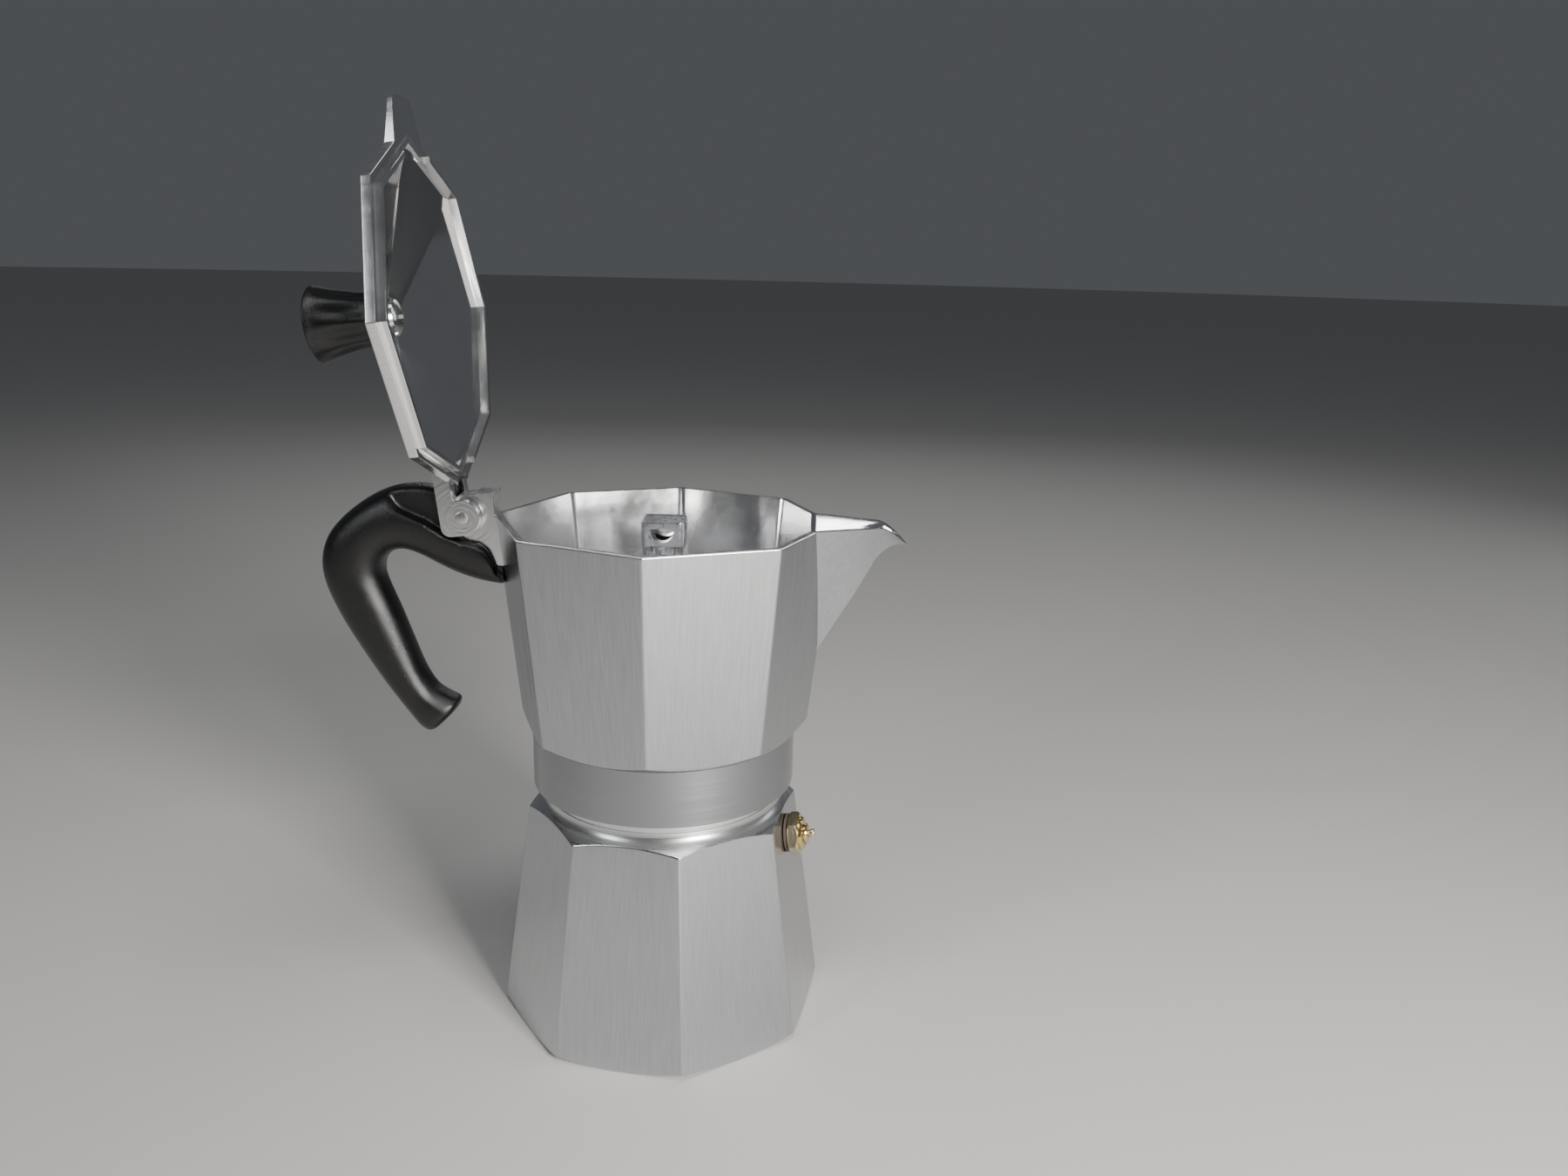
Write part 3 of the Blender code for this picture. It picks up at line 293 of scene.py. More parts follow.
# ---- finishes --------------------------------------------------------------------------------------
def linear(colour):
    """An sRGB hex colour as linear red, green and blue."""
    values = [int(colour[i : i + 2], 16) / 255 for i in (1, 3, 5)]
    return tuple(v / 12.92 if v <= 0.04045 else ((v + 0.055) / 1.055) ** 2.4 for v in values)


def add_node(tree, kind, settings=None, inputs=None):
    """A node with its settings, and its inputs given as values or as sockets to link."""
    node = tree.nodes.new(kind)
    for name, value in (settings or {}).items():
        setattr(node, name, value)
    for name, value in (inputs or {}).items():
        if isinstance(value, bpy.types.NodeSocket):
            tree.links.new(value, node.inputs[name])
        else:
            node.inputs[name].default_value = value
    return node


def start_finish(name, colour, metallic, roughness):
    """A material with its shader's own numbers set; returns it with its tree and shader."""
    material = bpy.data.materials.new(name)
    material.use_nodes = True
    material.diffuse_color = (*colour, 1.0)
    tree = material.node_tree
    shader = tree.nodes["Principled BSDF"]
    shader.inputs["Base Color"].default_value = (*colour, 1.0)
    shader.inputs["Metallic"].default_value = metallic
    shader.inputs["Roughness"].default_value = roughness
    return material, tree, shader


def vary(tree, shader, colour, tone_pattern, tones, roughness, gloss_pattern, glosses):
    """Lets patterns change a surface's tone and its gloss.

    tones and glosses are shares of the colour and the roughness, at the low and high end of a pattern.
    """
    dark, light = ([min(1.0, c * share) for c in colour] for share in tones)
    mixed = add_node(
        tree,
        "ShaderNodeMix",
        {"data_type": "RGBA"},
        {0: tone_pattern, 6: (*dark, 1.0), 7: (*light, 1.0)},
    ).outputs[2]
    gloss = add_node(
        tree,
        "ShaderNodeMapRange",
        inputs={
            "Value": gloss_pattern,
            "From Min": 0.3,
            "From Max": 0.7,
            "To Min": roughness * glosses[0],
            "To Max": roughness * glosses[1],
        },
    ).outputs["Result"]
    tree.links.new(mixed, shader.inputs["Base Color"])
    tree.links.new(gloss, shader.inputs["Roughness"])


def wear(tree, shader, colour, roughness, patch_mm, tone_share, gloss_share):
    """Slow, uneven changes of tone and gloss, as handling and oxide leave them."""
    place = add_node(tree, "ShaderNodeTexCoord").outputs["Object"]
    patches = add_node(
        tree,
        "ShaderNodeTexNoise",
        inputs={"Vector": place, "Scale": 1 / (patch_mm * MM), "Detail": 5.0, "Roughness": 0.62},
    ).outputs["Fac"]
    tones = (1 - tone_share, 1 + tone_share)
    glosses = (1 - gloss_share, 1 + gloss_share)
    vary(tree, shader, colour, patches, tones, roughness, patches, glosses)


def unevenness(tree, shader, size_mm, depth_mm, detail, roughness):
    """Bumps of one size all over a surface."""
    place = add_node(tree, "ShaderNodeTexCoord").outputs["Object"]
    bumps = add_node(
        tree,
        "ShaderNodeTexNoise",
        inputs={"Vector": place, "Scale": 1 / (size_mm * MM), "Detail": detail, "Roughness": roughness},
    ).outputs["Fac"]
    bump = add_node(tree, "ShaderNodeBump", inputs={"Height": bumps, "Distance": depth_mm * MM})
    tree.links.new(bump.outputs[0], shader.inputs["Normal"])


def brushed_aluminium(name, colour, roughness, taper=0.0, centre_mm=0.0, line_mm=0.4, depth_mm=0.02):
    """Cast aluminium, belt-brushed up and down its facets: soft grey with fine upright lines.

    taper is how fast the body widens upwards, as a share of its width at the base per metre, so that the
    lines follow the leaning facets. The real lines are about 0.1 mm apart; they are drawn coarser to show.
    """
    material, tree, shader = start_finish(name, colour, 1.0, roughness)
    place = add_node(tree, "ShaderNodeTexCoord").outputs["Object"]
    centre = (centre_mm * MM, 0.0, 0.0)
    from_centre = add_node(tree, "ShaderNodeVectorMath", {"operation": "SUBTRACT"}, {0: place, 1: centre})
    axes = add_node(tree, "ShaderNodeSeparateXYZ", inputs={0: from_centre.outputs[0]}).outputs
    width = add_node(
        tree, "ShaderNodeMath", {"operation": "MULTIPLY_ADD"}, {0: axes["Z"], 1: taper, 2: 1.0}
    ).outputs[0]
    across = [
        add_node(tree, "ShaderNodeMath", {"operation": "DIVIDE"}, {0: axes[axis], 1: width}).outputs[0]
        for axis in ("X", "Y")
    ]
    upright = add_node(
        tree, "ShaderNodeCombineXYZ", inputs={0: across[0], 1: across[1], 2: axes["Z"]}
    ).outputs[0]
    scale = 1 / (line_mm * MM)
    patterns = []
    for wide, long, detail in ((1, 30, 2.0), (7, 160, 3.0)):
        stretch = (scale / wide, scale / wide, scale / long)
        stretched = add_node(
            tree, "ShaderNodeVectorMath", {"operation": "MULTIPLY"}, {0: upright, 1: stretch}
        ).outputs[0]
        inputs = {"Vector": stretched, "Scale": 1.0, "Detail": detail}
        patterns.append(add_node(tree, "ShaderNodeTexNoise", inputs=inputs).outputs["Fac"])
    fine, broad = patterns
    vary(tree, shader, colour, fine, (0.8, 1.2), roughness, broad, (0.8, 1.2))
    bump = add_node(tree, "ShaderNodeBump", inputs={"Height": fine, "Distance": depth_mm * MM})
    tangent = add_node(tree, "ShaderNodeTangent", {"direction_type": "RADIAL", "axis": "Z"})
    shader.inputs["Anisotropic"].default_value = 0.25
    tree.links.new(tangent.outputs[0], shader.inputs["Tangent"])
    tree.links.new(bump.outputs[0], shader.inputs["Normal"])
    return material


def lathe_turned_metal(
    name, colour, roughness, ring_mm=0.6, depth_mm=0.01, anisotropy=0.5, axis="Z", centre=(0.0, 0.0, 0.0)
):
    """Metal finished on a lathe or with a round cutter: fine rings that draw its highlights out.

    The rings run round an axis through centre, which is given in mm. Real ones are 0.1 to 0.2 mm apart;
    they are drawn coarser to show.
    """
    material, tree, shader = start_finish(name, colour, 1.0, roughness)
    place = add_node(tree, "ShaderNodeTexCoord").outputs["Object"]
    from_centre = add_node(
        tree, "ShaderNodeVectorMath", {"operation": "SUBTRACT"}, {0: place, 1: [c * MM for c in centre]}
    ).outputs[0]
    axes = add_node(tree, "ShaderNodeSeparateXYZ", inputs={0: from_centre}).outputs
    second = "Z" if axis == "Y" else "Y"
    flat = add_node(tree, "ShaderNodeCombineXYZ", inputs={0: axes["X"], 1: axes[second]}).outputs[0]
    radius = add_node(tree, "ShaderNodeVectorMath", {"operation": "LENGTH"}, {0: flat}).outputs["Value"]
    way_round = add_node(tree, "ShaderNodeVectorMath", {"operation": "NORMALIZE"}, {0: flat}).outputs[0]
    round_axes = add_node(tree, "ShaderNodeSeparateXYZ", inputs={0: way_round}).outputs
    scale = 1 / (ring_mm * MM)
    along = add_node(tree, "ShaderNodeMath", {"operation": "ADD"}, {0: radius, 1: axes[axis]}).outputs[0]
    rings_at = add_node(tree, "ShaderNodeMath", {"operation": "MULTIPLY"}, {0: along, 1: scale}).outputs[0]
    ring_place = add_node(
        tree, "ShaderNodeCombineXYZ", inputs={0: rings_at, 1: round_axes["X"], 2: round_axes["Y"]}
    ).outputs[0]
    rings = add_node(
        tree, "ShaderNodeTexNoise", inputs={"Vector": ring_place, "Scale": 1.0, "Detail": 3.0}
    ).outputs["Fac"]
    vary(tree, shader, colour, rings, (0.86, 1.1), roughness, rings, (0.75, 1.25))
    bump = add_node(tree, "ShaderNodeBump", inputs={"Height": rings, "Distance": depth_mm * MM})
    tree.links.new(bump.outputs[0], shader.inputs["Normal"])
    if anisotropy:
        tangent = add_node(tree, "ShaderNodeTangent", {"direction_type": "RADIAL", "axis": axis})
        shader.inputs["Anisotropic"].default_value = anisotropy
        shader.inputs["Anisotropic Rotation"].default_value = 0.25
        tree.links.new(tangent.outputs[0], shader.inputs["Tangent"])
    return material


def polished_aluminium(name, colour, roughness, ripple_mm=2.6, depth_mm=0.02):
    """Cast aluminium, tumbled and polished: a mirror with the slow ripple of the casting under it."""
    material, tree, shader = start_finish(name, colour, 1.0, roughness)
    wear(tree, shader, colour, roughness, 14.0, 0.04, 0.35)
    unevenness(tree, shader, ripple_mm, depth_mm, 2.0, 0.45)
    return material


def grained_phenolic(name, colour, roughness, grain_mm, depth_mm=0.13):
    """Black phenolic, moulded in a fine-blasted die: satin, with a grain that breaks up its highlights.

    The real grain is about 0.2 mm; it is drawn coarser to show.
    """
    material, tree, shader = start_finish(name, colour, 0.0, roughness)
    shader.inputs["IOR"].default_value = 1.6
    wear(tree, shader, colour, roughness, 9.0, 0.25, 0.14)
    unevenness(tree, shader, grain_mm, depth_mm, 3.0, 0.6)
    return material


def moulded_rubber(name, colour, roughness):
    """Moulded rubber or pressed fibre: dull, with a faint tooth."""
    material, tree, shader = start_finish(name, colour, 0.0, roughness)
    shader.inputs["IOR"].default_value = 1.5
    wear(tree, shader, colour, roughness, 4.0, 0.1, 0.1)
    unevenness(tree, shader, 0.35, 0.02, 2.0, 0.5)
    return material


def round_cut_aluminium(name, colour, roughness, centre=(0.0, 0.0, 0.0)):
    """Aluminium faced by a round cutter about a pin along Y: bright, with faint rings round the pin."""
    return lathe_turned_metal(
        name, colour, roughness, ring_mm=0.7, depth_mm=0.04, anisotropy=0.0, axis="Y", centre=centre
    )


def drawn_sheet(name, colour, roughness):
    """Sheet aluminium drawn in a press: dull, with soft draw lines along the pull."""
    return brushed_aluminium(name, colour, roughness, line_mm=0.9, depth_mm=0.008)


# ---- settings --------------------------------------------------------------------------------------
def length(name, description, default):
    """A size in millimetres."""
    return bpy.props.FloatProperty(name=name, description=description, default=default, min=0.0)


def tone(name, description, default):
    """A colour, its default given in sRGB hex."""
    return bpy.props.FloatVectorProperty(
        name=name, description=description, default=linear(default), subtype="COLOR", min=0.0, max=1.0
    )


class MokaFinishes(bpy.types.PropertyGroup):
    """Colours of the finishes"""

    aluminium: tone("Brushed aluminium", "Colour of the brushed facets", "#BDBEC1")
    bright: tone("Polished aluminium", "Colour of the polished and turned aluminium", "#EDEDED")
    brass: tone("Brass", "Colour of the safety valve", "#EBDDBB")
    steel: tone("Steel", "Colour of the pin and the screws", "#CFCFCD")
    phenolic: tone("Phenolic", "Colour of the handle and the knob", "#080808")
    rubber: tone("Rubber", "Colour of the gasket and the valve's seal", "#E4DFD3")
    fibre: tone("Fibre", "Colour of the valve's washer", "#4A3F36")


class MokaBoiler(bpy.types.PropertyGroup):
    """Sizes of the boiler"""

    base_corner_r: length("Base corner radius", "Octagon corner radius at the base, mm", 57.0)
    top_corner_r: length("Top corner radius", "Octagon corner radius at the shoulder, mm", 46.6)
    top_corner_z: length("Shoulder height", "Height of the facets' upper corners, mm", 74.7)
    turn: bpy.props.FloatProperty(
        name="Turn",
        description="How far the boiler stands round from the collector",
        default=math.radians(12.3),
        subtype="ANGLE",
    )
    neck_r: length("Neck radius", "Radius at the root of the thread, mm", 38.9)
    corner_round: length("Edge rounding", "Rounding of the facets' edges, mm", 0.6)


class MokaCollector(bpy.types.PropertyGroup):
    """Sizes of the collector"""

    rim_corner_r: length("Rim corner radius", "Octagon corner radius at the rim, mm", 56.8)
    bottom_corner_r: length("Lower corner radius", "Octagon corner radius above the band, mm", 49.3)
    bottom_corner_z: length("Lower corner height", "Height of the facets' lower corners, mm", 106.1)
    wall: length("Wall", "Wall thickness, mm", 2.5)
    band_r: length("Band radius", "Radius of the turned band, mm", 44.75)
    band_top: length("Band top", "Height of the band's upper edge, mm", 103.3)
    spout_wall: length("Spout wall", "Thickness of the spout's walls, mm", 1.7)
    corner_round: length("Edge rounding", "Rounding of the facets' edges, mm", 0.55)


class MokaLid(bpy.types.PropertyGroup):
    """Sizes of the lid"""

    corner_r: length("Corner radius", "Octagon corner radius of the flange, mm", 56.6)
    flange: length("Flange", "Thickness of the flange, mm", 2.9)
    apex: length("Apex", "Height of the knob's seat above the rim, mm", 16.7)
    lip_drop: length("Lip", "How far the locating lip stands out of the flange, mm", 2.1)


class MokaHandle(bpy.types.PropertyGroup):
    """How fine the handle's grain and form are"""

    grain: length("Grain", "Size of the moulded grain, mm", 0.4)
    blend: length("Blend", "Size of the voxels that the moulded form is smoothed with, mm", 0.45)


class MokaStage(bpy.types.PropertyGroup):
    """Floor, surrounding light and camera"""

    floor: tone("Floor", "Colour of the floor", "#C8C6C3")
    surround: tone("Surround", "Colour of the light from all round", "#A9ADB3")
    camera_at: bpy.props.FloatVectorProperty(
        name="Camera",
        description="Where the camera stands",
        default=(0.0475, -0.4013, 0.2605),
        unit="LENGTH",
    )
    yaw: bpy.props.FloatProperty(
        name="Yaw", description="Camera's turn to the right", default=-0.0182, subtype="ANGLE"
    )
    pitch: bpy.props.FloatProperty(
        name="Pitch", description="Camera's tilt down", default=0.2635, subtype="ANGLE"
    )
    roll: bpy.props.FloatProperty(
        name="Roll", description="Camera's roll", default=0.0254, subtype="ANGLE"
    )
    lens: bpy.props.FloatProperty(name="Lens", description="Focal length on a 36 mm sensor", default=28.456)


SETTINGS = {
    "moka_finishes": MokaFinishes,
    "moka_boiler": MokaBoiler,
    "moka_collector": MokaCollector,
    "moka_lid": MokaLid,
    "moka_handle": MokaHandle,
    "moka_stage": MokaStage,
}


# ---- shapes shared by pieces -----------------------------------------------------------------------
def thread_ridge(wall_radius, inward, start_z, finish):
    """One helical ridge on a round wall, fading out at both ends."""
    out = -1.0 if inward else 1.0
    per_turn = 60
    count = round(THREAD_TURNS * per_turn)
    fade = per_turn / 8
    rings = []
    for i in range(count + 1):
        angle = math.tau * i / per_turn
        middle = start_z + PITCH * i / per_turn
        height = 1.2 * min(1.0, 0.1 + i / fade, 0.1 + (count - i) / fade)
        base = wall_radius - out * 0.4
        crest = wall_radius + out * height
        rings.append([polar(base, angle, middle - 0.8), polar(crest, angle, middle - 0.35)])
        rings[-1] += [polar(crest, angle, middle + 0.35), polar(base, angle, middle + 0.8)]
    return skin(same(rings, finish))


def valve_matrix():
    """The valve's own axes: origin on the boiler's facet, Z along the valve's axis outwards."""
    boiler = bpy.context.scene.moka_boiler
    low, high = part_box("valve_pin")
    on_axis = (low + high) / 2
    lean = math.asin(VALVE_DIRECTION.z)
    flat = math.cos(HALF_SIDE)
    reach = on_axis.dot(VALVE_DIRECTION)
    facet = math.cos(lean) * boiler.base_corner_r * MM * flat
    origin = on_axis - VALVE_DIRECTION * (reach - facet)
    azimuth = math.atan2(VALVE_DIRECTION.y, VALVE_DIRECTION.x)
    turn = Matrix.Rotation(azimuth, 4, "Z") @ Matrix.Rotation(math.pi / 2 - lean, 4, "Y")
    return Matrix.Translation(origin) @ turn


def lid_matrix():
    """The shut lid's own axes, turned open about the hinge pin."""
    return Matrix.Translation(PIN * MM) @ Matrix.Rotation(-math.radians(LID_OPEN), 4, "Y")


# ---- boiler ----------------------------------------------------------------------------------------
class MOKA_OT_boiler(bpy.types.Operator):
    """Build the faceted boiler with its turned shoulder, neck and thread"""

    bl_idname = "moka.boiler"
    bl_label = "Boiler"

    def execute(self, context):
        size = context.scene.moka_boiler
        colours = context.scene.moka_finishes
        turn = math.degrees(size.turn)
        facets, lathe, inside = range(3)
        foot_r = 52.2
        bore_r = 33.5
        hollow_low, floor_top = 6.5, 3.5
        hollow_top = 71.7
        bore_low = 78.0
        wall = 2.8 / math.cos(HALF_SIDE)
        taper = (size.top_corner_r - size.base_corner_r) / size.top_corner_z / size.base_corner_r / MM

        def corner_r(z):
            return size.base_corner_r + (size.top_corner_r - size.base_corner_r) * z / size.top_corner_z

        def foot_z(radius):
            return max(0.0, radius - foot_r) * 0.5

        def shoulder_z(radius):
            return size.top_corner_z + (size.top_corner_r - radius) * 0.45

        def on_facet_edge(point):
            """Whether an edge is on the outside, above the foot and below the neck."""
            radius = math.hypot(point.x, point.y)
            outside = radius > max(36.0, (corner_r(point.z) - 1.0) * math.cos(HALF_SIDE))
            return outside and 0.05 < point.z < bore_low

        neck = size.neck_r
        shoulder = shoulder_z(neck + 3.2)
        bands = [
            (pole(0.0), lathe),
            (circle(foot_r, 0.0, turn=turn), lathe),
            (cone_cut(corner_r, foot_z, turn), facets),
            (cone_cut(corner_r, shoulder_z, turn), lathe),
        ]
        neck_profile = (
            (neck + 3.2, shoulder),
            (neck + 2.5, shoulder + 0.5),
            (neck + 1.9, shoulder + 1.3),
            (neck + 1.55, shoulder + 2.3),
            (neck + 1.4, shoulder + 3.6),
            (neck + 0.9, shoulder + 3.9),
            (neck + 0.9, shoulder + 4.6),
            (neck + 1.35, shoulder + 4.9),
            (neck + 1.3, shoulder + 6.4),
            (neck, shoulder + 7.2),
            (neck, NECK_TOP - 0.8),
            (neck - 0.8, NECK_TOP),
            (bore_r, NECK_TOP),
        )
        bands += [(circle(radius, z, turn=turn), lathe) for radius, z in neck_profile]
        bands += [
            (circle(bore_r, bore_low, turn=turn), inside),
            (polygon(corner_r(hollow_top) - wall, hollow_top, turn=turn), inside),
            (polygon(corner_r(hollow_low) - wall, hollow_low, turn=turn), inside),
            (polygon(corner_r(hollow_low) - wall - 3.0, floor_top, turn=turn), inside),
            (pole(floor_top), inside),
        ]
        mesh = round_edges(skin(bands), size.corner_round, 2, 32.0, on_facet_edge)
        finishes = (
            brushed_aluminium("belt_brushed_aluminium_boiler", colours.aluminium, 0.21, taper=taper),
            lathe_turned_metal(
                "lathe_turned_aluminium_shoulder", colours.bright, 0.3, ring_mm=0.5, depth_mm=0.02
            ),
            polished_aluminium("tumbled_aluminium_boiler_inside", colours.aluminium, 0.38),
        )
        piece = add_object("boiler_shell", mesh, finishes)
        combine(piece, "UNION", thread_ridge(neck, False, THREAD_START, lathe))
        drill = rod(5.2, -9.0, 4.0, lathe)
        bmesh.ops.transform(drill, matrix=in_mm(valve_matrix()), verts=drill.verts)
        combine(piece, "DIFFERENCE", drill)
        settle(piece, "boiler_body", ["boiler"])
        return {"FINISHED"}


# ---- safety valve ----------------------------------------------------------------------------------
class MOKA_OT_valve(bpy.types.Operator):
    """Build the brass safety valve: body with its hexagon, bush and sliding pin"""

    bl_idname = "moka.valve"
    bl_label = "Safety valve"

    def execute(self, context):
        colours = context.scene.moka_finishes
        matrix = valve_matrix()
        milled = lathe_turned_metal(
            "milled_brass_valve_body", colours.brass, 0.22, ring_mm=0.35, depth_mm=0.012, anisotropy=0.3
        )
        gold = [c * share for c, share in zip(colours.brass, (1.0, 0.9, 0.62))]
        turned_brass = lathe_turned_metal(
            "turned_brass_valve_collar", gold, 0.17, ring_mm=0.25, depth_mm=0.02, anisotropy=0.3
        )
        hex_low, hex_high = 1.3, 4.9
        hex_corner = 6.5 / math.cos(math.pi / 6)
        hex_turn = -14.7
        facets, collar = range(2)

        def hexagon(u):
            """The hexagon with the conical chamfer of a lathe tool at both ends."""
            end = min(u - hex_low, hex_high - u)
            chamfer_r = hex_corner - 0.95 + 1.7 * end
            ring = []
            for angle in columns(SMALL):
                radius = min(polygon_radius(hex_corner, angle, 6), chamfer_r)
                ring.append(polar(radius, angle + math.radians(hex_turn), u))
            return ring

        def ring(radius, u):
            return circle(radius, u, SMALL, hex_turn)

        bands = [(ring(4.9, -8.0), facets), (ring(4.9, hex_low), facets)]
        for share in (0, 0.05, 0.1, 0.16, 0.5, 0.84, 0.9, 0.95, 1):
            bands.append((hexagon(hex_low + share * (hex_high - hex_low)), facets))
        bands += [
            (ring(5.5, hex_high), collar),
            (ring(5.65, hex_high + 0.2), collar),
            (ring(5.65, hex_high + 0.75), collar),
            (ring(5.35, hex_high + 1.1), collar),
            (ring(4.9, hex_high + 1.3), collar),
            (ring(4.0, hex_high + 1.3), collar),
            (ring(3.75, hex_high + 1.1), collar),
            (ring(3.0, hex_high + 1.1), collar),
            (ring(3.0, -5.5), collar),
            (ring(1.6, -5.5), collar),
            (ring(1.6, -8.0), collar),
        ]
        body = add_object("valve_hexagon", skin(bands, closed=True), (milled, turned_brass), matrix)
        settle(body, "boiler_body", ["valve_body"])

        bush_u = 6.5
        profile = [(1.2, bush_u - 1.8), (2.7, bush_u - 1.8), (2.7, bush_u), (3.3, bush_u)]
        profile += [(3.3, bush_u + 0.6), (3.1, bush_u + 0.95), (2.6, bush_u + 1.15)]
        profile += [(1.6, bush_u + 1.2), (1.2, bush_u + 1.05)]
        bush = add_object("valve_guide_bush", turned(profile, closed=True), (turned_brass,), matrix)
        settle(bush, "boiler_body", ["valve_bush"])

        profile = [(0, -4.1), (2.5, -4.1), (2.5, -3.1), (0.9, -3.1), (0.9, 8.3), (1.25, 8.4), (1.5, 8.7)]
        profile += [(1.5, 9.3), (1.35, 9.6), (0.9, 9.78), (0, 9.8)]
        pin = add_object("valve_plunger_pin", turned(profile), (milled,), matrix)
        settle(pin, "valve_plunger", ["valve_pin"])
        return {"FINISHED"}


# ---- collector -------------------------------------------------------------------------------------
SPOUT_STATIONS = (
    (50.2, 15.7, 175.0, 51.9, 130.8),
    (54.5, 13.9, 175.0, 56.0, 138.0),
    (59.0, 12.0, 175.0, 60.2, 145.0),
    (63.5, 10.2, 175.0, 64.5, 152.2),
    (68.0, 8.5, 175.0, 68.4, 159.4),
    (71.8, 7.1, 174.9, 70.9, 163.9),
    (74.6, 5.8, 173.6, 73.6, 166.6),
    (77.0, 4.2, 171.9, 76.3, 168.1),
    (79.2, 2.2, 169.8, 78.7, 168.5),
    (80.5, 0.3, 168.7, 80.4, 168.3),
)
FLANK_SHARES = (0.2, 0.4, 0.6, 0.75, 0.86, 0.94)


def spout_slices(inset):
    """Slices of the spout from root to tip, each from the keel up one flank and down the other."""
    slices = []
    for edge_x, half, edge_z, keel_x, keel_z in filled_in(SPOUT_STATIONS, 3):
        half = max(half - inset * 1.15, 0.1)
        keel = Vector((keel_x - inset * 0.9, 0.0, min(keel_z + inset * 1.1, edge_z - 0.12)))
        edge = Vector((edge_x - inset * 0.35, half, edge_z))
        flank = []
        for share in FLANK_SHARES:
            hollow = min(0.7, half * 0.1) * math.sin(math.pi * share)
            flank.append(keel.lerp(edge, share) - Vector((0.0, hollow, 0.0)))
        right = [keel, *flank, edge]
        slices.append(right + [Vector((p.x, -p.y, p.z)) for p in reversed(right[1:])])
    return slices


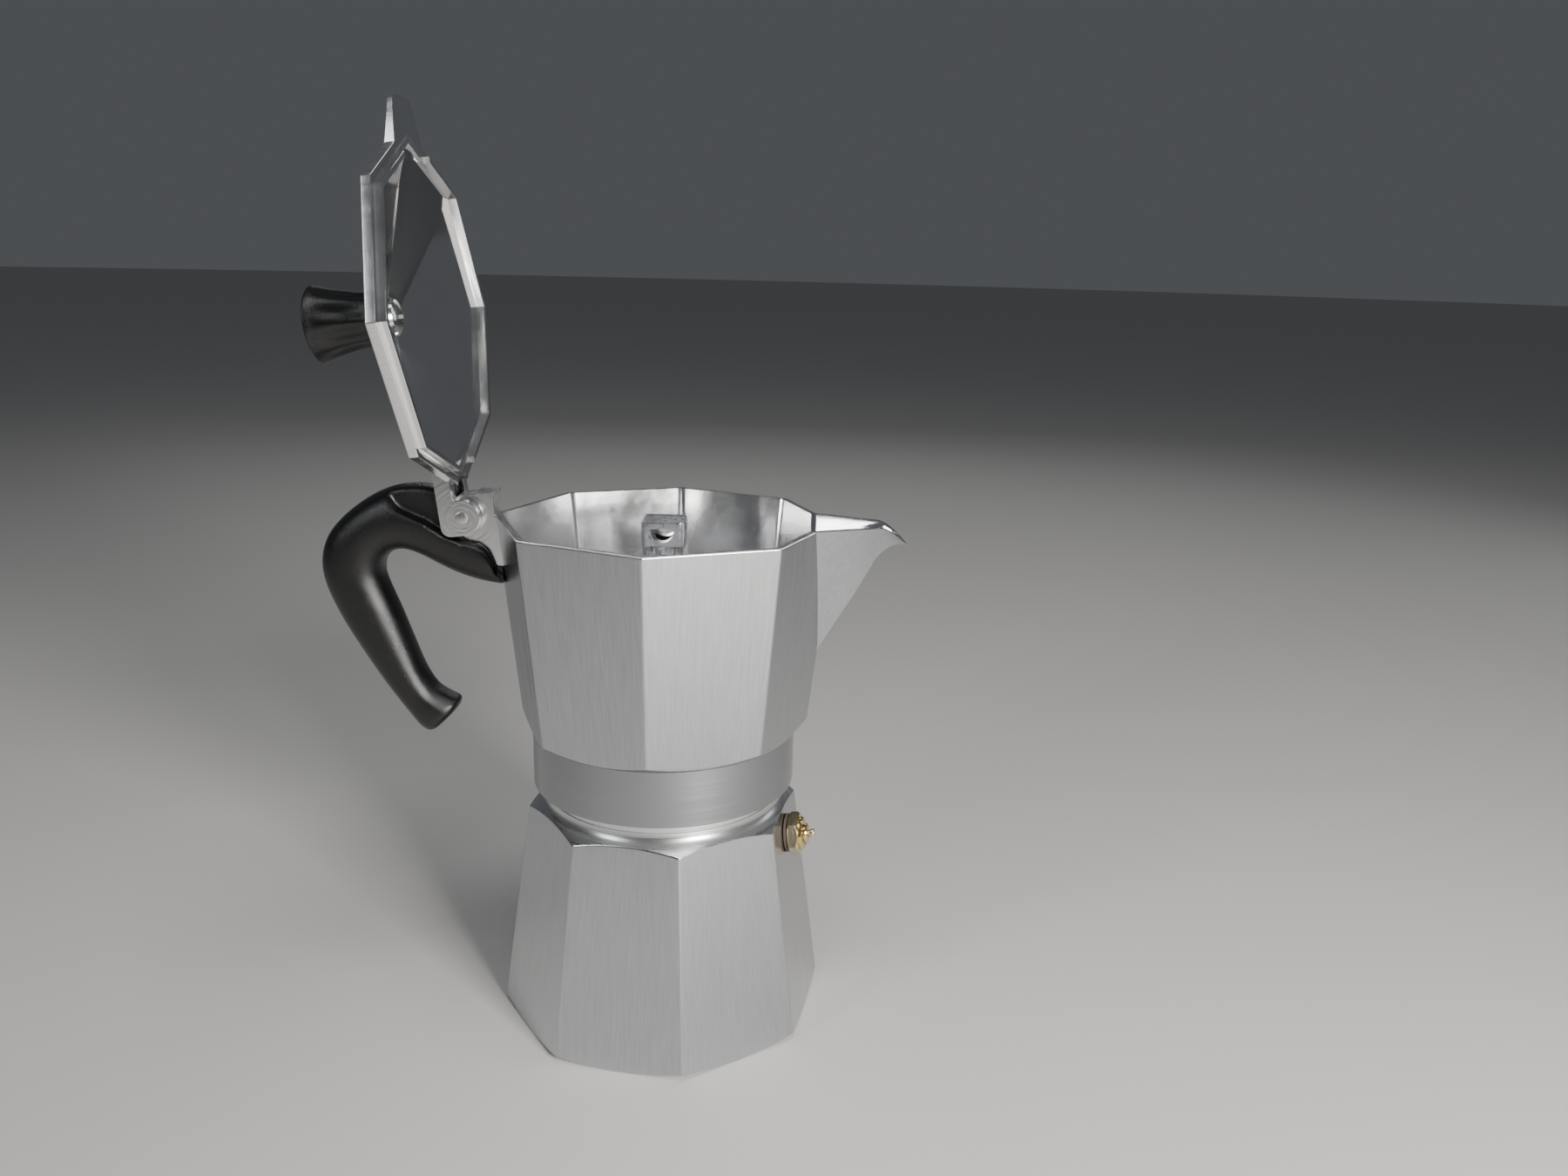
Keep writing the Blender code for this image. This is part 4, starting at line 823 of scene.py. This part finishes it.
class MOKA_OT_collector(bpy.types.Operator):
    """Build the collector: turned band, brushed facets, polished inside, spout and hinge lug"""

    bl_idname = "moka.collector"
    bl_label = "Collector"

    def execute(self, context):
        size = context.scene.moka_collector
        colours = context.scene.moka_finishes
        facets, band, inside, milled = range(4)
        # painted shade: the turned band is the facets' aluminium darkened to 0.72, standing in for the
        # darker reflections on the band
        band_painted_shade = [c * 0.72 for c in colours.aluminium]
        thread_r = 40.5
        seat_z, gasket_z = 101.7, 97.3
        gasket_r = 36.8
        rise = RIM_Z - size.bottom_corner_z
        slope = (size.rim_corner_r - size.bottom_corner_r) / rise
        base_r = size.bottom_corner_r - slope * size.bottom_corner_z

        def corner_r(z):
            return base_r + slope * z

        def cone_z(radius):
            return size.bottom_corner_z + (radius - size.bottom_corner_r) * 0.587

        bands = [
            (pole(102.8), inside),
            (circle(31.8, 102.8), inside),
            (circle(31.8, seat_z), inside),
            (circle(gasket_r, seat_z), inside),
            (circle(gasket_r, gasket_z), inside),
            (circle(thread_r, gasket_z), inside),
            (circle(thread_r, SKIRT_BOTTOM + 0.8), band),
            (circle(41.3, SKIRT_BOTTOM), band),
            (circle(size.band_r - 0.5, SKIRT_BOTTOM), band),
            (circle(size.band_r - 0.15, SKIRT_BOTTOM + 0.15), band),
            (circle(size.band_r, SKIRT_BOTTOM + 0.5), band),
            (circle(size.band_r, size.band_top - 0.4), band),
            (circle(size.band_r + 0.02, size.band_top), band),
            (cone_cut(corner_r, cone_z), facets),
            (polygon(size.rim_corner_r, RIM_Z), inside),
            (pole(RIM_Z), inside),
        ]
        mesh = skin(bands)
        round_edges(mesh, size.corner_round, 2, 32.0, lambda p: p.z > size.band_top + 0.3)
        taper = slope / base_r / MM
        finishes = (
            brushed_aluminium("belt_brushed_aluminium_collector", colours.aluminium, 0.2, taper=taper),
            lathe_turned_metal(
                "lathe_turned_aluminium_band_painted_shade", band_painted_shade, 0.22, ring_mm=0.5, depth_mm=0.01, anisotropy=0.6
            ),
            polished_aluminium(
                "polished_aluminium_inside", colours.bright, 0.15, ripple_mm=7.0, depth_mm=0.015
            ),
            round_cut_aluminium("milled_aluminium_lug", colours.bright, 0.17, PIN),
        )
        piece = add_object("collector_shell", mesh, finishes)
        slices = spout_slices(0.0)
        root = [p - Vector((4.0, 0.0, 0.0)) for p in slices[0]]
        combine(piece, "UNION", skin(same([root, *slices], facets)))
        combine(piece, "UNION", self.lug(corner_r, milled))

        wall = size.wall / math.cos(HALF_SIDE)
        low = 109.5
        cavity = skin(
            same(
                [
                    pole(106.5),
                    polygon(corner_r(low) - wall - 3.0, 106.5),
                    polygon(corner_r(low) - wall - 0.9, low - 2.0),
                    polygon(corner_r(low) - wall, low),
                    polygon(size.rim_corner_r - wall, RIM_Z),
                    polygon(size.rim_corner_r - wall, RIM_Z + 2.0),
                    pole(RIM_Z + 2.0),
                ],
                inside,
            )
        )
        round_edges(cavity, 1.6, 3, 35.0, lambda p: low < p.z < RIM_Z - 1.0)
        channel = []
        inner = spout_slices(size.spout_wall)[:-2]
        for ring in ([p - Vector((9.0, 0.0, 0.0)) for p in inner[0]], *inner):
            top = max(p.z for p in ring)
            channel.append([p + Vector((0, 0, 1.5)) if p.z > top - 0.01 else p for p in ring])
        hole = rod(6.5, 95.0, 110.0, inside)
        combine(piece, "DIFFERENCE", cavity, skin(same(channel, inside)), hole)
        combine(piece, "UNION", thread_ridge(thread_r, True, THREAD_START + PITCH / 2, inside))
        bore = lay_along_y(rod(PIN_HOLE_R, -9.0, 9.0, milled))
        screw = rod(HANDLE_SCREW_HOLE_R, 150.0, HANDLE_SCREW_TOP, milled)
        combine(piece, "DIFFERENCE", shift(bore, PIN), shift(screw, (HANDLE_SCREW_X, 0.0, 0.0)))
        settle(piece, "collector_body", ["collector"])
        return {"FINISHED"}

    def lug(self, corner_r, finish):
        """The hinge lug and its gusset, with the round steps that clear the lid's ears."""
        centre = (PIN.x, PIN.z)
        low = 158.4
        outline = [
            (-52.8, RIM_Z - 0.3),
            (PIN.x + 9.6, RIM_Z - 0.3),
            (PIN.x + 9.6, PIN.z + 7.6),
            (PIN.x + 3.4, PIN.z + 7.6),
            *arc(centre, 6.6, 75.0, 205.0, 24),
            (-corner_r(low) + 0.1, low),
            (-50.8, low),
        ]
        mesh = prism(outline, -LUG_HALF, LUG_HALF, finish)
        return round_edges(mesh, 0.3, 2, 40.0, lambda p: p.x < PIN.x + 9.7 and p.z > low + 1.0)


# ---- column ----------------------------------------------------------------------------------------
class MOKA_OT_column(bpy.types.Operator):
    """Build the fluted column that the coffee rises through, with its windowed head"""

    bl_idname = "moka.column"
    bl_label = "Column"

    def execute(self, context):
        colours = context.scene.moka_finishes
        count = 96

        def fluted(radius, z, depth=0.35):
            return [
                polar(radius - depth * (1 - math.cos(12 * angle)), angle, z) for angle in columns(count)
            ]

        floor = 106.8
        head_low = RIM_Z - 8.6
        rings = [
            circle(6.2, 103.1, count),
            circle(6.2, floor, count),
            circle(10.3, floor, count),
            circle(10.5, floor + 0.3, count),
            circle(10.4, floor + 0.9, count),
            circle(9.7, floor + 1.8, count),
            fluted(9.2, floor + 3.2, 0.15),
            fluted(9.0, floor + 5.0),
            fluted(8.3, 136.0),
            fluted(7.75, head_low - 2.0),
            fluted(7.7, head_low + 0.6, 0.2),
        ]
        cast = polished_aluminium("tumbled_aluminium_column", colours.aluminium, 0.26, ripple_mm=1.6)
        piece = add_object("coffee_column", skin(same(rings)), (cast,))
        head = block((-6.95, -6.95, head_low), (6.95, 6.95, RIM_Z))
        upright = round_edges(head, 1.3, 4, 40.0, lambda p: abs(abs(p.x) - abs(p.y)) < 0.1)
        round_edges(upright, 0.45, 2, 60.0)
        top = RIM_Z - 2.3
        low = top - 4.6
        window = [(3.8, top), (-3.8, top), *arc((0.0, low + 3.8), 3.8, 180.0, 360.0, 17)]
        bore = rod(3.3, 90.0, top - 0.1)
        combine(piece, "UNION", upright)
        combine(piece, "DIFFERENCE", prism(window, -13.0, 13.0), bore)
        settle(piece, "collector_body", ["column"], 35.0)
        return {"FINISHED"}


# ---- handle ----------------------------------------------------------------------------------------
HANDLE_STATIONS = (
    (-53.6, 168.5, -53.6, 151.2, 8.8),
    (-61.2, 174.0, -60.7, 152.3, 9.6),
    (-68.6, 180.4, -68.1, 154.5, 10.0),
    (-76.5, 184.1, -74.4, 157.3, 10.0),
    (-84.0, 184.4, -79.9, 160.2, 9.9),
    (-91.3, 182.8, -85.2, 162.1, 9.8),
    (-98.9, 178.9, -89.5, 161.9, 9.6),
    (-106.7, 172.8, -92.4, 160.1, 9.4),
    (-112.2, 166.0, -94.0, 157.2, 9.3),
    (-114.6, 157.6, -94.3, 153.6, 9.1),
    (-113.3, 148.5, -93.0, 149.3, 8.9),
    (-108.4, 137.0, -89.6, 140.8, 8.6),
    (-101.4, 124.7, -85.8, 130.1, 8.2),
    (-94.7, 114.1, -82.1, 120.2, 7.8),
    (-89.1, 106.2, -78.3, 114.0, 7.6),
    (-84.9, 100.4, -73.9, 111.3, 7.7),
    (-82.4, 98.3, -70.8, 109.9, 7.6),
)


class MOKA_OT_handle(bpy.types.Operator):
    """Build the moulded handle with its thumb scoops and the slot for the hinge lug"""

    bl_idname = "moka.handle"
    bl_label = "Handle"

    def execute(self, context):
        size = context.scene.moka_handle
        colours = context.scene.moka_finishes
        rows = filled_in(HANDLE_STATIONS, 5)
        rings = [self.section(rows[0], 0.9, 1.0)]
        rings += [self.section(row) for row in rows]
        foot = ((0.95, -0.9), (0.85, -1.6), (0.65, -2.0), (0.3, -2.2))
        rings += [self.section(rows[-1], shrink, push) for shrink, push in foot]
        black = grained_phenolic("moulded_phenolic_handle", colours.phenolic, 0.26, grain_mm=size.grain)
        piece = add_object("handle_grip", skin(same(rings)), (black,))
        combine(piece, "DIFFERENCE", self.scoop(-1), self.scoop(1))
        soften = size.blend * MM
        apply_modifier(piece, "REMESH", mode="VOXEL", voxel_size=soften)
        apply_modifier(piece, "SMOOTH", factor=0.5, iterations=30)
        combine(piece, "DIFFERENCE", *self.clearances(context.scene.moka_collector))
        settle(piece, "collector_body", ["handle"], 50.0)
        return {"FINISHED"}

    def section(self, row, shrink=1.0, push=0.0):
        """An oval between an outer and an inner edge point, pushed back along the handle by push."""
        outer = Vector((row[0], 0.0, row[1]))
        inner = Vector((row[2], 0.0, row[3]))
        middle = (outer + inner) / 2
        up = (outer - inner) / 2 * shrink
        ahead = Vector((up.z, 0.0, -up.x)).normalized() * push
        ring = []
        for angle in columns(40):
            c, s = math.cos(angle), math.sin(angle)
            across = math.copysign(abs(c) ** (2 / 2.3), c) * row[4] * shrink
            along = math.copysign(abs(s) ** (2 / 2.3), s)
            ring.append(middle + ahead + up * along + Vector((0.0, across, 0.0)))
        return ring

    def scoop(self, side):
        """The hollow beside the hinge that the lid's ear swings in."""
        x, z = PIN.x, PIN.z
        outline = [
            (-40.0, z + 30.0),
            (-40.0, z - 23.0),
            (x + 10.2, z - 20.0),
            (x + 8.9, z - 15.5),
            (x + 7.0, z - 11.5),
            (x + 4.0, z - 9.3),
            (x, z - 8.7),
            (x - 5.8, z - 6.6),
            (x - 12.3, z - 2.4),
            *arc((-81.0, z + 9.0), 9.0, 255.0, 180.0, 12),
            (-90.0, z + 30.0),
        ]
        near, far = sorted((side * (LUG_HALF + 0.05), side * 20.0))
        return prism(outline, near, far)

    def clearances(self, collector):
        """What the handle is cut away for: the collector's facets, the lug, and the screw."""
        slope = (collector.rim_corner_r - collector.bottom_corner_r) / (RIM_Z - collector.bottom_corner_z)

        def corner_r(z):
            return collector.bottom_corner_r + slope * (z - collector.bottom_corner_z)

        body = [polygon(corner_r(z) + 0.35, z) for z in (collector.bottom_corner_z, RIM_Z, RIM_Z + 30.0)]
        low = 158.1
        back = 6.9
        slot = [(-52.8, RIM_Z - 3.0), (-52.8, PIN.z + 30.0), (PIN.x - back, PIN.z + 30.0)]
        slot += arc((PIN.x, PIN.z), back, 180.0, 205.0, 5)
        slot += [(-corner_r(low) + 0.1, low), (-50.8, low)]
        half = LUG_HALF + LUG_GAP
        head_r, head_top = 3.9, 156.6
        profile = [(0, 140.0), (head_r, 140.0), (head_r, head_top), (HANDLE_SCREW_HOLE_R, head_top)]
        profile += [(HANDLE_SCREW_HOLE_R, HANDLE_SCREW_TOP), (0, HANDLE_SCREW_TOP)]
        screw = shift(turned(profile), (HANDLE_SCREW_X, 0.0, 0.0))
        return skin(same(body)), prism(slot, -half, half), screw


# ---- lid -------------------------------------------------------------------------------------------
class MOKA_OT_lid(bpy.types.Operator):
    """Build the lid: pyramid, flange, locating lip, beak cover and hinge ears"""

    bl_idname = "moka.lid"
    bl_label = "Lid"

    def execute(self, context):
        size = context.scene.moka_lid
        colours = context.scene.moka_finishes
        wall, inside, top_side, lip, milled = range(5)
        reach = -PIN.x
        on_centre = (reach, 0.0, 0.0)
        bottom = 0.3
        top = bottom + size.flange
        seat = size.apex
        hollow_seat = seat - 2.6
        hollow_r, hollow_seat_r = 54.3, 9.5
        lip_out, lip_in = 53.4, 51.4
        beside_lug = LUG_HALF + LUG_GAP

        def eight(radius, out):
            return [p + Vector((reach, 0.0, 0.0)) for p in polygon(radius, out, SIDES)]

        def centre(out):
            return [Vector((reach, 0.0, out))]

        bands = [
            (centre(seat), top_side),
            (eight(9.6, seat), top_side),
            (eight(size.corner_r - 1.0, top + 0.5), wall),
            (eight(size.corner_r, top), wall),
            (eight(size.corner_r, bottom), inside),
            (eight(hollow_r, bottom), inside),
            (eight(hollow_seat_r, hollow_seat), inside),
            (centre(hollow_seat), inside),
        ]
        mesh = skin(bands)
        edge = size.corner_r * math.cos(HALF_SIDE) - 1.5
        round_edges(mesh, 0.3, 2, 30.0, lambda p: math.hypot(p.x - reach, p.y) > edge)
        bright = colours.bright
        finishes = (
            brushed_aluminium(
                "brushed_aluminium_lid_edge", bright, 0.24, centre_mm=reach, line_mm=0.3, depth_mm=0.008
            ),
            polished_aluminium("mirror_polished_lid_inside", bright, 0.07, ripple_mm=5.0, depth_mm=0.012),
            lathe_turned_metal(
                "lathe_turned_aluminium_lid_top",
                colours.aluminium,
                0.24,
                ring_mm=0.7,
                depth_mm=0.012,
                anisotropy=0.0,
                centre=on_centre,
            ),
            polished_aluminium("bright_aluminium_lip", bright, 0.16, ripple_mm=3.0, depth_mm=0.015),
            round_cut_aluminium("milled_aluminium_ear", bright, 0.16),
        )
        piece = add_object("lid_shell", mesh, finishes, lid_matrix())
        drop = bottom - size.lip_drop
        rings = [eight(lip_out, drop), eight(lip_out, 2.0), eight(lip_in, 2.8), eight(lip_in, drop)]
        ring = skin(same(rings, lip), closed=True)
        round_edges(ring, 0.25, 2, 40.0, lambda p: p.z < 0)
        strip = add_object("tool_lip", ring, piece.data.materials)
        hinge_gap = block((0.0, -9.0, drop - 1.0), (20.0, 9.0, bottom + 0.02), lip)
        beak_gap = block((105.0, -12.5, drop - 1.0), (125.0, 12.5, bottom + 0.02), lip)
        combine(strip, "DIFFERENCE", hinge_gap, beak_gap)
        strip.matrix_world = piece.matrix_world.copy()

        beak = self.beak(size, reach, bottom, top, wall, inside)
        rings = [eight(hollow_r, bottom - 1.0), eight(hollow_r, bottom)]
        rings += [eight(hollow_seat_r, hollow_seat), centre(hollow_seat)]
        hollow = skin(same(rings))
        cover = add_object("tool_beak", beak, piece.data.materials)
        combine(cover, "DIFFERENCE", hollow)
        cover.matrix_world = piece.matrix_world.copy()
        for tool in (cover, strip):
            apply_modifier(piece, "BOOLEAN", operation="UNION", solver="EXACT", object=tool)
            bpy.data.objects.remove(tool)
        combine(piece, "UNION", self.ear(-1, milled), self.ear(1, milled))
        notch_r = 12.8
        profile = [(0, -beside_lug), (notch_r, -beside_lug), (notch_r, beside_lug), (0, beside_lug)]
        notch = lay_along_y(turned(profile, COLUMNS, finish=inside))
        bore = lay_along_y(rod(PIN_HOLE_R, -20.0, 20.0, wall))
        screw = shift(rod(2.3, 0.0, 25.0, inside), on_centre)
        combine(piece, "DIFFERENCE", notch, bore, screw)
        settle(piece, "lid_body", ["lid"])
        return {"FINISHED"}

    def beak(self, size, reach, bottom, top, wall, inside):
        """The tongue that covers the spout, thinning to its tip."""
        tip = 65.15 + reach
        plan = [
            (reach + 47.3, 14.0, top + 1.4),
            (reach + 51.1, 13.7, top + 0.1),
            (reach + 56.0, 11.9, top - 0.5),
            (tip - 1.6, 8.9, bottom + 1.5),
            (tip - 0.5, 7.6, bottom + 1.35),
            (tip, 4.2, bottom + 1.3),
        ]
        right_under = [Vector((x, y, bottom)) for x, y, _ in plan]
        right_over = [Vector((x, y - 0.3, z)) for x, y, z in plan]
        under = right_under + [Vector((p.x, -p.y, p.z)) for p in reversed(right_under)]
        over = right_over + [Vector((p.x, -p.y, p.z)) for p in reversed(right_over)]
        mesh = skin([(under, wall), (over, wall)])
        for face in mesh.faces:
            if face.normal.z < -0.9:
                face.material_index = inside
        return mesh

    def ear(self, side, finish):
        """One of the two hinge ears and the arm that joins it to the flange."""
        outline = [
            (24.0, 4.3),
            (24.0, 6.1),
            (13.0, 7.3),
            *arc((-2.9, 4.3), 3.0, 90.0, 180.0, 8),
            *arc((0.0, 0.0), 5.9, 180.0, 380.0, 36),
            (5.9, 2.0),
            (11.6, 2.0),
        ]
        near, far = sorted((side * (LUG_HALF + LUG_GAP), side * 9.85))
        return round_edges(prism(outline, near, far, finish), 0.25, 2, 40.0, lambda p: p.x < 12.0)


# ---- hinge pin and knob ----------------------------------------------------------------------------
class MOKA_OT_hinge_pin(bpy.types.Operator):
    """Build the riveted pin of the lid's hinge"""

    bl_idname = "moka.hinge_pin"
    bl_label = "Hinge pin"

    def execute(self, context):
        colours = context.scene.moka_finishes
        steel = lathe_turned_metal("peened_steel_pin", colours.steel, 0.3, ring_mm=0.3, anisotropy=0.0)
        half = 10.15
        profile = [(0, -half), (0.7, -half + 0.03), (1.3, -half + 0.08), (1.8, -half + 0.16)]
        profile += [(2.1, -half + 0.28), (1.5, -half + 0.28)]
        profile += [(radius, -z) for radius, z in reversed(profile)]
        pin = add_object("hinge_pin_rivet", lay_along_y(turned(profile)), (steel,), lid_matrix())
        settle(pin, "lid_body", ["hinge_pin"])
        return {"FINISHED"}


class MOKA_OT_knob(bpy.types.Operator):
    """Build the fluted knob and the screw that holds it"""

    bl_idname = "moka.knob"
    bl_label = "Knob and screw"

    def execute(self, context):
        colours = context.scene.moka_finishes
        size = context.scene.moka_lid
        on_centre = (-PIN.x, 0.0, 0.0)
        seat = size.apex + 0.3
        height = 22.4
        waist_r, end_r = 8.3, 12.35
        count = 96

        def fluted(share):
            radius = waist_r + (end_r - waist_r) * share**1.8
            depth = 0.5 * math.sin(math.pi * min(1.0, share * 1.02)) ** 0.7
            z = seat + 0.5 + (height - 1.6) * share
            return [
                polar(radius - depth * (1 - math.cos(8 * angle)), angle, z) for angle in columns(count)
            ]

        rings = [pole(seat), circle(7.6, seat, count), circle(8.1, seat + 0.2, count)]
        rings += [fluted(i / 20) for i in range(21)]
        end = seat + height
        rings += [circle(12.3, end - 0.75, count), circle(12.0, end - 0.45, count)]
        rings += [circle(11.4, end - 0.3, count), circle(8.0, end + 0.2, count)]
        rings += [circle(4.0, end + 0.55, count), pole(end + 0.7)]
        black = grained_phenolic("moulded_phenolic_knob", colours.phenolic, 0.3, grain_mm=0.45)
        knob = add_object("knob_grip", shift(skin(same(rings)), on_centre), (black,), lid_matrix())
        socket = turned(((0, seat - 1), (4.6, seat - 1), (4.6, seat + 10.8), (0, seat + 10.8)))
        combine(knob, "DIFFERENCE", shift(socket, on_centre))
        settle(knob, "lid_body", ["lid_knob"], 40.0)

        head_top = size.apex - 2.9
        low = head_top - 2.2
        tip = seat + 9.2
        profile = [(0, low), (2.2, low + 0.05), (4.2, low + 0.45), (5.5, low + 1.1), (6.0, low + 1.9)]
        profile += [(6.0, head_top), (2.0, head_top), (2.0, tip - 0.6), (1.4, tip), (0, tip)]
        steel = lathe_turned_metal(
            "plated_steel_screw", colours.steel, 0.2, ring_mm=0.3, depth_mm=0.008, anisotropy=0.3
        )
        screw = add_object("knob_screw_head", shift(turned(profile), on_centre), (steel,), lid_matrix())
        for a, b in ((2.6, 0.55), (0.55, 2.6)):
            slot = block((-a, -b, low - 1.0), (a, b, low + 1.3))
            combine(screw, "DIFFERENCE", shift(slot, on_centre))
        settle(screw, "lid_body", ["knob_screw"])
        return {"FINISHED"}


# ---- inner parts -----------------------------------------------------------------------------------
class MOKA_OT_inner_parts(bpy.types.Operator):
    """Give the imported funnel, seals and small fixings their finishes"""

    bl_idname = "moka.inner_parts"
    bl_label = "Inner parts"

    def execute(self, context):
        colours = context.scene.moka_finishes
        sheet = drawn_sheet("deep_drawn_aluminium_sheet", colours.aluminium, 0.36)
        rubber = moulded_rubber("moulded_silicone_rubber", colours.rubber, 0.62)
        fibre = moulded_rubber("pressed_fibre", colours.fibre, 0.8)
        steel = lathe_turned_metal("bright_steel_fixing", colours.steel, 0.28, ring_mm=0.4, anisotropy=0.3)
        brass = lathe_turned_metal(
            "turned_brass_insert", colours.brass, 0.25, ring_mm=0.3, depth_mm=0.02, anisotropy=0.3
        )
        finishes = {
            "funnel_basket": sheet,
            "funnel_stem": sheet,
            "funnel_screen": sheet,
            "filter_plate": sheet,
            "gasket": rubber,
            "valve_seal": rubber,
            "valve_washer": fibre,
            "valve_spring": steel,
            "handle_screw": steel,
            "knob_insert": brass,
        }
        for name, finish in finishes.items():
            node = frame["nodes"][name]
            node.data.materials.clear()
            node.data.materials.append(finish)
        return {"FINISHED"}


# ---- stage -----------------------------------------------------------------------------------------
class MOKA_OT_stage(bpy.types.Operator):
    """Lay the floor, set the lights and place the camera"""

    bl_idname = "moka.stage"
    bl_label = "Stage"

    def execute(self, context):
        size = context.scene.moka_stage
        profile = [(0.0, -3.0), (12000.0, -3.0), (12000.0, 0.0), (0.0, 0.0)]
        # matt paper: pale and even, with no highlight
        paper, tree, shader = start_finish("matt_paper_floor", size.floor, 0.0, 0.7)
        wear(tree, shader, size.floor, 0.7, 220.0, 0.02, 0.08)
        floor = add_object("floor", shift(turned(profile, 96), (0.0, 0.0, -0.02)), (paper,))

        world = bpy.data.worlds.new("studio")
        context.scene.world = world
        world.use_nodes = True
        background = world.node_tree.nodes["Background"]
        background.inputs["Color"].default_value = (*size.surround, 1.0)
        background.inputs["Strength"].default_value = 0.2

        aim = Vector((0.0, 0.0, 0.13))
        panels = (
            ("right_softbox", (0.42, -0.56, 0.36), 9.0, (0.2, 0.24), (1.0, 0.985, 0.96)),
            ("left_softbox", (-0.7, -0.66, 0.66), 2.4, (0.2, 0.46), (0.96, 0.98, 1.0)),
            ("side_strip", (1.0, 0.6, 0.55), 0.8, (0.04, 0.6), (0.97, 0.985, 1.0)),
            ("top_panel", (0.12, -0.2, 1.05), 3.0, (0.34, 0.26), (1.0, 1.0, 1.0)),
            ("rear_strip", (0.0, 1.2, 0.72), 1.2, (1.0, 0.05), (1.0, 1.0, 1.0)),
        )
        for name, at, power, (wide, high), colour in panels:
            light = bpy.data.lights.new(name, "AREA")
            light.shape = "RECTANGLE"
            light.size = wide
            light.size_y = high
            light.energy = power
            light.color = colour
            panel = bpy.data.objects.new(name, light)
            panel.location = at
            panel.rotation_euler = (aim - Vector(at)).to_track_quat("-Z", "Y").to_euler()
            context.scene.collection.objects.link(panel)
        self.camera(context, size)
        return {"FINISHED"}

    def camera(self, context, size):
        turn, tilt = size.yaw, size.pitch
        ahead = Vector((math.sin(turn) * math.cos(tilt), math.cos(turn) * math.cos(tilt), -math.sin(tilt)))
        right = Vector((math.cos(turn), -math.sin(turn), 0.0))
        up = right.cross(ahead)
        rolled_right = right * math.cos(size.roll) + up * math.sin(size.roll)
        rolled_up = up * math.cos(size.roll) - right * math.sin(size.roll)
        matrix = Matrix((rolled_right, rolled_up, -ahead)).transposed().to_4x4()
        matrix.translation = Vector(size.camera_at)
        data = bpy.data.cameras.new("camera")
        data.sensor_width = 36.0
        data.lens = size.lens
        data.clip_start = 0.01
        camera = bpy.data.objects.new("camera", data)
        camera.matrix_world = matrix
        context.scene.collection.objects.link(camera)
        context.scene.camera = camera


# ---- add-on ----------------------------------------------------------------------------------------
OPERATORS = (
    MOKA_OT_boiler,
    MOKA_OT_valve,
    MOKA_OT_collector,
    MOKA_OT_column,
    MOKA_OT_handle,
    MOKA_OT_lid,
    MOKA_OT_hinge_pin,
    MOKA_OT_knob,
    MOKA_OT_inner_parts,
    MOKA_OT_stage,
)


class MOKA_PT_panel(bpy.types.Panel):
    """List the pot's settings and the operators that build it"""

    bl_idname = "MOKA_PT_panel"
    bl_label = "Moka pot"
    bl_space_type = "VIEW_3D"
    bl_region_type = "UI"
    bl_category = "Moka pot"

    def draw(self, context):
        for operator in OPERATORS:
            self.layout.operator(operator.bl_idname)
        for name, group in SETTINGS.items():
            column = self.layout.column(heading=name)
            for prop in group.__annotations__:
                column.prop(getattr(context.scene, name), prop)


def register():
    for group in SETTINGS.values():
        bpy.utils.register_class(group)
    for name, group in SETTINGS.items():
        setattr(bpy.types.Scene, name, bpy.props.PointerProperty(type=group))
    for operator in OPERATORS:
        bpy.utils.register_class(operator)
    bpy.utils.register_class(MOKA_PT_panel)


def unregister():
    bpy.utils.unregister_class(MOKA_PT_panel)
    for operator in reversed(OPERATORS):
        bpy.utils.unregister_class(operator)
    for name in SETTINGS:
        delattr(bpy.types.Scene, name)
    for group in reversed(SETTINGS.values()):
        bpy.utils.unregister_class(group)


def main():
    register()
    for operator in OPERATORS:
        group, name = operator.bl_idname.split(".")
        getattr(getattr(bpy.ops, group), name)()


if __name__ == "__main__":
    main()
